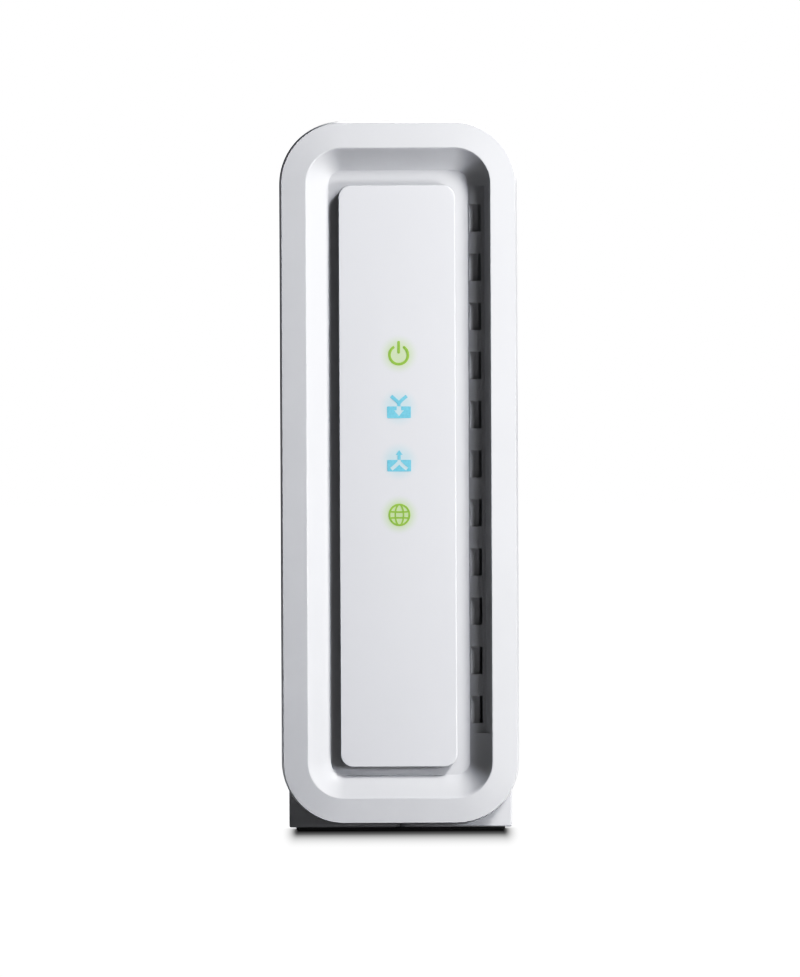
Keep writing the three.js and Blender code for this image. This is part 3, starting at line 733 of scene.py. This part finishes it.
def make_downstream_icon(z):
    """Tray with an arrow cut out of it, two arms meeting above."""
    top = z + 0.19
    base = tray(z - 2.05, top, "symbol_downstream")
    arrow = [(-0.42, top + 0.3), (-0.42, top - 0.75), (-0.92, top - 0.75), (0, top - 1.82),
             (0.92, top - 0.75), (0.42, top - 0.75), (0.42, top + 0.3)]
    boolean(base, slab(arrow, extra=1))
    arms = fork(top + 0.55, 1, top + 0.02, top + 0.75)
    finish_icon(merge([base, arms], "symbol_downstream"), "lamp_blue")


def make_upstream_icon(z):
    """Tray with a forked path cut out of it, arrow above."""
    top = z + 0.32
    base = tray(z - 1.90, top, "symbol_upstream")
    boolean(base, fork(top - 0.35, -1, top - 0.75, top + 0.4, extra=1))
    arrow = [(-0.30, top + 0.02), (0.30, top + 0.02), (0.30, top + 0.95), (0.68, top + 0.95),
             (0, top + 1.88), (-0.68, top + 0.95), (-0.30, top + 0.95)]
    finish_icon(merge([base, slab(arrow)], "symbol_upstream"), "lamp_blue")


def make_online_icon(z):
    """Globe: rim, an inner ellipse and two curved bands across."""
    half = 0.15
    globe = ellipse_ring(z, 1.90, 1.96, 0.34, "symbol_online")
    boolean(globe, ellipse_ring(z, 0.78, 1.96, 0.28), "UNION")
    for side in (1, -1):
        band = [(1.80 * math.cos(math.pi * i / 20),
                 side * (0.66 - 0.12 * math.sin(math.pi * i / 20))) for i in range(21)]
        outline = [(x, z + up + half) for x, up in band]
        outline += [(x, z + up - half) for x, up in band[::-1]]
        boolean(globe, slab(outline), "UNION")
    finish_icon(globe, "lamp_green")


make_plate()
for make_icon, icon_height in zip(
        (make_power_icon, make_downstream_icon, make_upstream_icon, make_online_icon), ICON_Z):
    make_icon(icon_height)


# ---------------------------------------------------------------- half shells
def shell_outline(inset):
    return rounded_rect(-SHELL_HALF + inset, SHELL_HALF - inset, SHELL_Z0 + inset,
                        SHELL_Z1 - inset,
                        [max(0.4 - inset, 0.05)] * 2 + [SHELL_RADIUS - inset] * 2, 20)


def shell_vents():
    """Cutter for the rows of slots through the top and the bottom."""
    count, front_y, pitch = 12, -34, 6
    inner, outer = 3.4, 12.5
    slots = []
    for i in range(count):
        y = front_y + i * pitch
        for side in (-1, 1):
            # the bottom slots reach further out
            for z0, z1, extra in ((128, 136, 0), (-1, 3.6, 1)):
                x0, x1 = sorted((side * inner, side * (outer + extra)))
                outline = rounded_rect(x0, x1, y - 1.1, y + 1.1, 0.9, 6)
                slots.append(loft([at_z(outline, z) for z in (z0, z1)]))
    return merge(slots)


def make_hull():
    """Both shells in one piece."""
    profile = fillet([  # inset, y, radius: outside, rear lip with its groove, inside
        (0.9, -57.7), (0.0, -57.7, 0.35), (0.0, 61.0, 0.5), (2.0, 61.0, 0.25), (2.0, 57.4, 0.1),
        (3.2, 57.4, 0.1), (3.2, 56.15, 0.1), (2.0, 56.15), (2.0, 53.85), (3.2, 53.85, 0.1),
        (3.2, 52.6, 0.1), (2.0, 52.6), (2.0, -55.7, 0.2), (2.6, -55.7),
    ])
    rings = [at_y(shell_outline(inset), y) for inset, y in profile]
    # the front opening follows the bezel
    rings += [at_y(bezel_outline(4.45, 20), y) for y in (-55.7, -57.7)]
    hull = loft(rings, "hull", closed=True)
    boolean(hull, shell_vents())
    recess_half = FOOT_HALF + FOOT_GAP
    for _, y0, y1 in FEET:
        boolean(hull, box(-recess_half, recess_half, y0 - FOOT_GAP, y1 + FOOT_GAP, -1, 1.3))
    # notch at the bottom of the front edge
    boolean(hull, box(-0.85, 0.85, -59, -56.3, -1, 1.35))
    return hull


def on_seam_or_vent(middle):
    on_vent = (middle.z > 132.5 or middle.z < 1.1) and abs(middle.x) < 14 and -36 < middle.y < 34
    return abs(middle.x) < 0.2 or on_vent


def make_half_shell(hull, side, sign, screw_x, screw_z):
    shell = hull.copy()
    shell.data = hull.data.copy()
    shell.name = side + "_shell_body"
    scene.collection.objects.link(shell)
    x0, x1 = sorted((0.05 * sign, 40 * sign))
    boolean(shell, box(x0, x1, -80, 80, -10, 150), "INTERSECT")
    clean(shell)
    if side == "left":
        inside = [cross_rod(y, z, 3.2, -19.6, -9.15, 32) for y, z in BOSSES]
    else:
        inside = [box(18.2, 19.6, -50, 48, z - 0.6, z + 0.6) for z in (30, 66, 102)]
    for piece in inside:
        boolean(shell, piece, "UNION")
    # screw post, the web that ties it to the wall, and its hole
    boolean(shell, cylinder(screw_x, screw_z, 3.3, 42, 52.4, 32), "UNION")
    x0, x1 = sorted((screw_x, screw_x * 1.34))
    boolean(shell, box(x0, x1, 42, 52.4, screw_z - 1, screw_z + 1), "UNION")
    boolean(shell, cylinder(screw_x, screw_z, 1.5, 43.5, 53.9, 24))
    if side == "left":
        for y, z in BOSSES:
            boolean(shell, cross_rod(y, z, 1.55, -18.6, -8.0, 24))
    clean(shell)
    # eased seam edges and slot mouths make the parting line read as a fine groove
    bevel(shell, 0.16, on_seam_or_vent)
    finish(shell, "casing_white", side + "_shell")


def make_shells():
    hull = make_hull()
    for side, sign, screw in (("left", -1, SCREWS[0]), ("right", 1, SCREWS[1])):
        make_half_shell(hull, side, sign, *screw)
    bpy.data.objects.remove(hull)


make_shells()


# ---------------------------------------------------------------- rear panel, label, feet
def panel_opening(x1, z, half):
    """Cutter for a connector's opening, a little larger than the connector."""
    return box(CONNECTOR_X0 - PANEL_GAP, x1 + PANEL_GAP, 52, 58,
               z - half - PANEL_GAP, z + half + PANEL_GAP)


def make_rear_panel():
    profile = fillet([(1.0, 54.0), (0.0, 54.0, 0.15), (0.0, 56.0, 0.2), (1.0, 56.0)], 4)
    panel = stacked((-SHELL_HALF, SHELL_HALF, SHELL_Z0, SHELL_Z1),
                    lambda inset: [0.1, 0.1, SHELL_RADIUS - inset, SHELL_RADIUS - inset], 16,
                    [(2.2 + inset, y) for inset, y in profile], "rear_panel_plate")
    cuts = [
        panel_opening(ETHERNET_X1, ETHERNET_Z, ETHERNET_HALF),
        panel_opening(POWER_X1, POWER_Z, POWER_HALF),
        cylinder(COAX_X, COAX_Z, 4.95, 52, 58, 64),
        turned(RESET_X, RESET_Z, [(1.3, 52), (1.3, 55.7), (1.75, 56.15), (1.75, 58)], 40),
    ]
    cuts += [cylinder(x, z, 1.75, 52, 58, 32) for x, z in SCREWS]
    # two columns of upright slots
    for i in range(7):
        z = 28 + i * 9
        for x0, x1 in ((10.2, 12.0), (-13.6, -11.8)):
            cuts.append(prism(rounded_rect(x0, x1, z, z + 6, 0.85, 6), 52, 58))
    boolean(panel, merge(cuts))
    clean(panel)
    bevel(panel, 0.14, lambda middle: middle.y > 55.9)
    finish(panel, "panel_white", "rear_panel")


def make_label():
    label = stacked((-12.5, 12.5, 96.5, 117.5), 1.2, 8,
                    ((0, 56.05), (0, 56.15), (0.06, 56.2)), "rating_label_sheet")
    finish(label, "label_paper", "rating_label", angle=30)


def make_foot(name, y0, y1):
    profile = [(0.25, 0.0), (0.06, 0.06), (0.0, 0.25), (0.0, 0.95), (0.06, 1.14),
               (0.25, 1.2)]  # inset, z
    foot = loft([at_z(rounded_rect(-FOOT_HALF + inset, FOOT_HALF - inset, y0 + inset, y1 - inset,
                                   0.9 - inset * 0.5, 8), z) for inset, z in profile],
                name + "_pad")
    # the resting face keeps its flat land between the grooves
    grooves = [box(-18.6, 18.6, y0 + 2.0 + k * 2.0, y0 + 2.6 + k * 2.0, -1, 0.22)
               for k in range(5)]
    boolean(foot, merge(grooves))
    clean(foot)
    finish(foot, "foot_rubber", name)


make_rear_panel()
make_label()
for foot_entry in FEET:
    make_foot(*foot_entry)


# ---------------------------------------------------------------- ethernet jack
CONTACT_Z = [ETHERNET_Z + (k - 3.5) * 1.02 for k in range(8)]


def strip(path, z, width, thick):
    """Flat strip with trimmed corners along a centre line of (x, y), its width along z."""
    trim, half_w, half_t = 0.22 * thick, width / 2, thick / 2
    section = [(-half_w + trim, -half_t), (half_w - trim, -half_t), (half_w, -half_t + trim),
               (half_w, half_t - trim), (half_w - trim, half_t), (-half_w + trim, half_t),
               (-half_w, half_t - trim), (-half_w, -half_t + trim)]
    return loft([[(point[0] - along.y * out, point[1] + along.x * out, across + z)
                  for across, out in section] for point, along in with_tangents(path)])


def make_ethernet_shield():
    front, rear, wall = 35.5, 56.5, 0.5
    profile = fillet([  # inset, y, radius
        (3.0, front), (0.0, front, 0.35), (0.0, rear, 0.1), (wall, rear, 0.12),
        (wall, front + wall, 0.2), (3.0, front + wall),
    ], 4)
    bounds = (CONNECTOR_X0, ETHERNET_X1, ETHERNET_Z - ETHERNET_HALF, ETHERNET_Z + ETHERNET_HALF)
    shield = stacked(bounds, lambda inset: max(0.45 - inset * 0.6, 0.08), 6, profile,
                     "ethernet_shield_can")
    finish(shield, "tinned_steel", "ethernet_shield")


def make_ethernet_insert():
    insert = stacked((-7.35, 5.45, ETHERNET_Z - 7.4, ETHERNET_Z + 7.4), 0.35, 5,
                     ((0.15, 36.1), (0, 36.25), (0, 56.1), (0.18, 56.35)),
                     "ethernet_insert_block")
    # stepped cavity, the same above and below the jack's middle: x, half height
    steps = [(-5.6, 5.95), (1.35, 5.95), (1.35, 3.1), (2.9, 3.1), (2.9, 1.7), (4.1, 1.7)]
    cavity = [(x, ETHERNET_Z - half) for x, half in steps]
    cavity += [(x, ETHERNET_Z + half) for x, half in reversed(steps)]
    boolean(insert, prism(cavity, 43.5, 58))
    # one groove behind each contact
    boolean(insert, merge([box(-6.3, -5.5, 44.2, 53.0, z - 0.3, z + 0.3) for z in CONTACT_Z]))
    clean(insert)
    bevel(insert, 0.18, lambda middle: middle.y > 56.2 and middle.x > -6)
    finish(insert, "connector_black", "ethernet_insert")


def make_ethernet_contacts():
    path = fillet([(-5.30, 53.4), (-5.05, 52.5, 0.5), (-3.78, 45.6, 0.3), (-4.05, 45.0)], 6)
    contacts = box(-5.5, -5.05, 52.4, 53.6, ETHERNET_Z - 4.1, ETHERNET_Z + 4.1,
                   "ethernet_contact_springs")
    for z in CONTACT_Z:
        boolean(contacts, strip(path, z, width=0.42, thick=0.24), "UNION")
    clean(contacts)
    finish(contacts, "gold_contact", "ethernet_contacts")


make_ethernet_shield()
make_ethernet_insert()
make_ethernet_contacts()

# ---------------------------------------------------------------- coax connector
COAX_RADIUS, COAX_BORE = 4.7, 3.3
COAX_THREAD_Y, COAX_THREAD_LENGTH = 59.4, 6.5
COAX_THREAD_END = COAX_THREAD_Y + COAX_THREAD_LENGTH


def coax_thread(radius, y, angle):
    """Cuts the thread into the outside only, fading out at both ends."""
    if radius < 4.2 or not COAX_THREAD_Y < y < COAX_THREAD_END:
        return radius
    fade = min(1.0, (y - COAX_THREAD_Y) / 0.5, (COAX_THREAD_END - y) / 0.5)
    return radius - 0.40 * (1 - thread_wave(y, angle, pitch=0.794)) * fade


def make_coax_body():
    steps = 96
    profile = [(COAX_RADIUS, y) for y in (53.3, 56.0, 59.3)]
    profile += [(COAX_RADIUS, COAX_THREAD_Y + COAX_THREAD_LENGTH * i / steps)
                for i in range(1, steps)]
    profile += [(COAX_RADIUS, 65.95), (4.45, 66.35), (4.25, 66.5), (3.5, 66.5), (3.35, 66.4),
                (COAX_BORE, 66.25), (COAX_BORE, 53.3)]
    body = turned(COAX_X, COAX_Z, profile, 72, coax_thread, "coax_threaded_body", closed=True)
    block = stacked((CONNECTOR_X0, 6.4, COAX_Z - 7.5, COAX_Z + 7.5), 0.6, 5,
                    ((0.3, 41.0), (0, 41.3), (0, 53.3), (0.3, 53.6)), "tool")
    boolean(block, cylinder(COAX_X, COAX_Z, COAX_BORE, 50, 60, 72))
    boolean(body, block, "UNION")
    clean(body)
    finish(body, "nickel", "coax_body", angle=34)


def make_coax_core():
    profile = fillet([  # radius, y, fillet radius
        (1.4, 50.2), (3.15, 50.2, 0.1), (3.15, 65.6, 0.3), (2.1, 65.6, 0.2), (1.5, 65.0, 0.3),
        (0.95, 64.7, 0.1), (0.95, 50.2), (1.4, 50.2),
    ], 4)[:-1]
    insulator = turned(COAX_X, COAX_Z, profile, 56, name="coax_dielectric", closed=True)
    finish(insulator, "insulator", "coax_insulator")
    profile = [(0.5, 50.4), (0.8, 50.5), (0.8, 65.0), (0.72, 65.2), (0.58, 65.15), (0.5, 64.9)]
    contact = turned(COAX_X, COAX_Z, profile, 36, name="coax_centre_contact", closed=True)
    finish(contact, "gold_contact", "coax_contact")


def make_coax_washer():
    """Toothed lock washer."""
    seg, bore, outside, root = 112, 4.9, 7.2, 6.55

    def toothed(radius, _, angle):
        in_gap = round(angle * seg / math.tau) % 8 >= 4
        return root if radius == outside and in_gap else radius

    washer = turned(COAX_X, COAX_Z, [(bore, 56.06), (outside, 56.06), (outside, 56.6),
                                     (bore, 56.6)], seg, toothed, "coax_lock_washer", closed=True)
    finish(washer, "nickel", "coax_washer")


def hexagon(angle):
    return 6.0 / math.cos((angle + math.pi / 6 + math.pi) % (math.pi / 3) - math.pi / 6)


def chamfered(angle):
    return min(hexagon(angle), 6.05)


def make_coax_nut():
    profile = [(5.1, 56.68), (chamfered, 56.68), (hexagon, 56.98), (hexagon, 58.55),
               (chamfered, 58.9), (5.1, 58.9), (4.86, 58.75), (4.86, 56.83)]
    nut = turned(COAX_X, COAX_Z, profile, 96, name="coax_hex_nut", closed=True)
    finish(nut, "nickel", "coax_nut", angle=30)


make_coax_body()
make_coax_core()
make_coax_washer()
make_coax_nut()


# ---------------------------------------------------------------- power jack, reset, screws
def make_power_jack():
    bounds = (CONNECTOR_X0, POWER_X1, POWER_Z - POWER_HALF, POWER_Z + POWER_HALF)
    housing = stacked(bounds, 0.5, 6, ((0.2, 42.5), (0, 42.7), (0, 56.25), (0.2, 56.5)),
                      "power_jack_block")
    boolean(housing, turned(POWER_X, POWER_Z, [(3.2, 47.0), (3.2, 56.1), (3.45, 56.35),
                                               (3.45, 58)], 56))
    boolean(housing, cylinder(POWER_X, POWER_Z, 1.15, 44.0, 48.0, 32))
    clean(housing)
    finish(housing, "connector_black", "power_jack_housing")
    profile = [(0.9, 44.3), (1.0, 44.4), (1.0, 54.6), (0.93, 54.95), (0.74, 55.2), (0.4, 55.3)]
    pin = turned(POWER_X, POWER_Z, profile, 40, name="power_jack_centre_pin")
    finish(pin, "nickel", "power_jack_pin", angle=40)


def make_reset_button():
    y0, y1 = (corner.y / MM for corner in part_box("reset_plunger"))
    profile = [(0.95, y0), (1.1, y0 + 0.1), (1.2, y0 + 0.3), (1.2, y1 - 0.45),
               (1.12, y1 - 0.16), (0.9, y1 - 0.03), (0.5, y1)]
    plunger = turned(RESET_X, RESET_Z, profile, 40, name="reset_button_plunger")
    finish(plunger, "switch_black", "reset_plunger", angle=40, body="reset_button")


def screw_thread(radius, y, angle):
    if not 45.9 < y < 53.5:
        return radius
    return radius - 0.25 * (1 - max(0.0, 1 - thread_wave(y, angle, pitch=0.9) * 2.2))


def make_screw(number, x, z):
    """Case screw along Y with a domed head and a tapering cross recess."""
    profile = [(0.5, 45.5), (0.9, 45.7)] + [(1.3, 45.9 + 7.6 * j / 90) for j in range(91)]
    profile += [(1.3, 56.05), (2.7, 56.05), (2.9, 56.2), (2.9, 56.9), (2.75, 57.4),
                (2.3, 57.78), (1.5, 57.97), (0.6, 58.0)]
    screw = turned(x, z, profile, 40, screw_thread, f"case_screw_{number}_phillips")
    for half_x, half_z in ((0.42, 1.95), (1.95, 0.42)):
        boolean(screw, loft([
            at_y(rectangle(x - half_x * scale, x + half_x * scale,
                           z - half_z * scale, z + half_z * scale), y)
            for scale, y in ((0.55, 57.0), (1.0, 58.4))]))
    clean(screw, 0.001)
    finish(screw, "screw_steel", f"case_screw_{number}")


make_power_jack()
make_reset_button()
for screw_number, screw_place in enumerate(SCREWS, 1):
    make_screw(screw_number, *screw_place)


# ---------------------------------------------------------------- CAD pieces that stay
def dress_cad():
    """Gives the visible CAD pieces their material and eased edges."""
    slots = {entry["node"]: entry["material_slot"] for entry in frame["record"]["subparts"]}
    for name, piece in NODES.items():
        if piece.hide_render:
            continue
        piece.data.materials.clear()
        piece.data.materials.append(MATERIALS[slots[name]])
        low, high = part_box(name)
        eased = piece.modifiers.new("eased", "BEVEL")
        eased.width = min(0.2 * MM, min(high - low) * 0.12)
        eased.segments = 2
        eased.limit_method = "ANGLE"
        eased.angle_limit = math.radians(40)


dress_cad()


# ---------------------------------------------------------------- floor
def floor_low_view(mat, y, beside):
    """White glow with only a thin soft shade under the modem, for views from low down."""
    fore = mat.math("MAXIMUM", mat.minus(-55 * MM, y), 0.0)
    fore = mat.math("DIVIDE", fore, 90 * MM)
    aft = mat.math("MAXIMUM", mat.minus(y, -50 * MM), 0.0)
    aft = mat.math("DIVIDE", aft, 20 * MM)
    side = mat.math("DIVIDE", beside, 3.5 * MM)
    squares = mat.plus(mat.times(fore, fore),
                       mat.plus(mat.times(aft, aft), mat.times(side, side)))
    inward = mat.minus(1.0, mat.math("MINIMUM", mat.math("SQRT", squares), 1.0))
    fade = mat.math("POWER", mat.minus(1.0, mat.times(inward, inward)), 1.35)
    thin = mat.node("ShaderNodeEmission")
    mat.link(mat.times(fade, 1.02), thin.inputs[1])
    return thin.outputs[0]


def floor_material():
    """Pale for the light it passes on; to the camera, a contact shade fading into white."""
    mat = Shader("floor_pale")
    tone = mat.noise(scale=6, detail=2.0)
    pale = mat.mix(mat.ramp(tone), (0.86, 0.86, 0.865), (0.88, 0.88, 0.88))
    indirect = mat.node("ShaderNodeLightPath").outputs["Is Diffuse Ray"]
    mat.set("Base Color", mat.mix(indirect, pale, (0.30, 0.30, 0.30)))
    mat.set("Roughness", mat.ramp(tone, to=(0.42, 0.5)))
    mat.set("Specular IOR Level", 0.3)
    seen = mat.node("ShaderNodeLightPath").outputs["Is Camera Ray"]
    # distance from the modem's footprint
    x, y, _ = mat.axes(mat.coords)
    beside = mat.math("MAXIMUM", mat.minus(mat.math("ABSOLUTE", x), 19.5 * MM), 0.0)
    beyond = mat.math("MAXIMUM", mat.minus(mat.math("ABSOLUTE", y), 55 * MM), 0.0)
    distance = mat.hypot(beside, beyond)
    # the contact shade reaches further in a low view
    geometry = mat.node("ShaderNodeNewGeometry")
    view_height = mat.axes(geometry.outputs["Incoming"])[2]
    reach = mat.ramp(view_height, to=(105 * MM, 26 * MM), over=(0.017, 0.16))
    near = mat.math("MINIMUM", mat.math("DIVIDE", distance, reach), 1.0)
    near = mat.math("POWER", near, 0.75)
    shade = mat.node("ShaderNodeBsdfDiffuse")
    level = mat.plus(0.12, mat.times(near, mat.ramp(tone, to=(2.85, 2.95))))
    grey = mat.node("ShaderNodeCombineXYZ")
    for i in range(3):
        mat.link(level, grey.inputs[i])
    mat.link(grey.outputs[0], shade.inputs["Color"])
    # plain white sweep further out
    far = mat.ramp(distance, over=(40 * MM, 330 * MM), shape="SMOOTHSTEP")
    white = mat.node("ShaderNodeEmission")
    white.inputs[0].default_value = (1, 1, 1, 1)
    white.inputs[1].default_value = 1.02
    sweep = mat.blend(far, shade.outputs[0], white.outputs[0])
    thin = floor_low_view(mat, y, beside)
    low = mat.ramp(view_height, to=(1.0, 0.0), over=(0.085, 0.17), shape="SMOOTHSTEP")
    view = mat.blend(seen, mat.surface.outputs[0], mat.blend(low, sweep, thin))
    # clear from below
    clear = mat.node("ShaderNodeBsdfTransparent")
    both = mat.blend(geometry.outputs["Backfacing"], view, clear.outputs[0])
    mat.link(both, mat.output.inputs[0])
    return mat.material


def make_floor():
    """Grid just below z = 0, sizes in metres."""
    cells, size, z = 48, 8.0, -0.00005
    row = cells + 1
    grid = bmesh.new()
    for j in range(row):
        for i in range(row):
            grid.verts.new(((i / cells - 0.5) * size, (j / cells - 0.5) * size, z))
    grid.verts.ensure_lookup_table()
    for j in range(cells):
        for i in range(cells):
            k = j * row + i
            grid.faces.new([grid.verts[n] for n in (k, k + 1, k + row + 1, k + row)])
    mesh = bpy.data.meshes.new("floor")
    grid.to_mesh(mesh)
    grid.free()
    floor = bpy.data.objects.new("floor", mesh)
    scene.collection.objects.link(floor)
    mesh.materials.append(floor_material())


make_floor()

# ---------------------------------------------------------------- lights and world
LIGHTS = [
    # name, position mm, target mm, width mm, height mm, power W
    ("strip_low", (185, -211, 40), (0, -66, 70), 40, 80, 0.306),
    ("strip_mid", (160, -238, 210), (0, -66, 70), 40, 80, 0.141),
    ("strip_upper", (185, -211, 210), (0, -66, 70), 40, 80, 0.071),
    ("strip_high", (185, -211, 310), (0, -66, 70), 40, 80, 0.138),
    ("key", (286, -373, 450), (0, -66, 70), 70, 140, 2.05),
    ("left", (-500, 190, 170), (0, 10, 70), 300, 300, 0.85),
    ("rear", (160, 620, 330), (0, 60, 60), 360, 360, 3.5),
]


def make_light(name, position, target, width, height, power):
    light = bpy.data.lights.new(name, "AREA")
    light.shape = "RECTANGLE"
    light.size = width * MM
    light.size_y = height * MM
    light.energy = power
    lamp = bpy.data.objects.new(name, light)
    lamp.location = [c * MM for c in position]
    lamp.rotation_mode = "QUATERNION"
    lamp.rotation_quaternion = (Vector(target) - Vector(position)).to_track_quat("-Z", "Y")
    lamp.visible_camera = False
    # "left" is a plain fill, which leaves no bright line on the rounded edges
    lamp.visible_glossy = name != "left"
    scene.collection.objects.link(lamp)


def make_world():
    """Plain white to the camera, a faint cool fill to everything else."""
    world = bpy.data.worlds.new("studio")
    scene.world = world
    world.use_nodes = True
    tree = world.node_tree
    tree.nodes.clear()
    output = tree.nodes.new("ShaderNodeOutputWorld")
    mix = tree.nodes.new("ShaderNodeMixShader")
    path = tree.nodes.new("ShaderNodeLightPath")
    tree.links.new(path.outputs["Is Camera Ray"], mix.inputs[0])
    fill, seen = ((0.86, 0.92, 1.0, 1), 0.03), ((1, 1, 1, 1), 1.0)
    for i, (color, strength) in enumerate((fill, seen), 1):
        background = tree.nodes.new("ShaderNodeBackground")
        background.inputs[0].default_value = color
        background.inputs[1].default_value = strength
        tree.links.new(background.outputs[0], mix.inputs[i])
    tree.links.new(mix.outputs[0], output.inputs[0])


for light_entry in LIGHTS:
    make_light(*light_entry)
make_world()

# ---------------------------------------------------------------- tone curve and camera
# a gentle print curve, scene light in and out: deeper shade, unchanged white
TONE_POINTS = ((0.0331, 0.0153), (0.1005, 0.0489), (0.214, 0.126), (0.3801, 0.3547),
               (0.6038, 0.6559), (0.89, 0.9222))


def set_tone():
    view = scene.view_settings
    view.view_transform = "Standard"
    view.look = "None"
    view.use_curve_mapping = True
    curve = view.curve_mapping
    curve.extend = "EXTRAPOLATED"
    for light_in, light_out in TONE_POINTS:
        curve.curves[3].points.new(light_in, light_out)
    curve.update()


def make_camera():
    """Long lens in front of the modem, slightly raised; sizes in metres."""
    distance, view_width, sensor = 2.5, 0.18563, 36.0
    elevation, roll = math.radians(0.8), math.radians(-0.25)
    target = Vector((0.00013, -0.0665, 0.0654))
    camera = bpy.data.cameras.new("camera")
    holder = bpy.data.objects.new("camera", camera)
    scene.collection.objects.link(holder)
    camera.sensor_width = sensor
    camera.lens = sensor * distance / view_width
    camera.clip_start, camera.clip_end = 0.05, 20
    back = Vector((0.0, -math.cos(elevation), math.sin(elevation)))
    holder.location = target + back * distance
    holder.rotation_mode = "QUATERNION"
    aim = (-back).to_track_quat("-Z", "Y")
    holder.rotation_quaternion = aim @ Quaternion((0, 0, 1), roll)
    scene.camera = holder


set_tone()
make_camera()
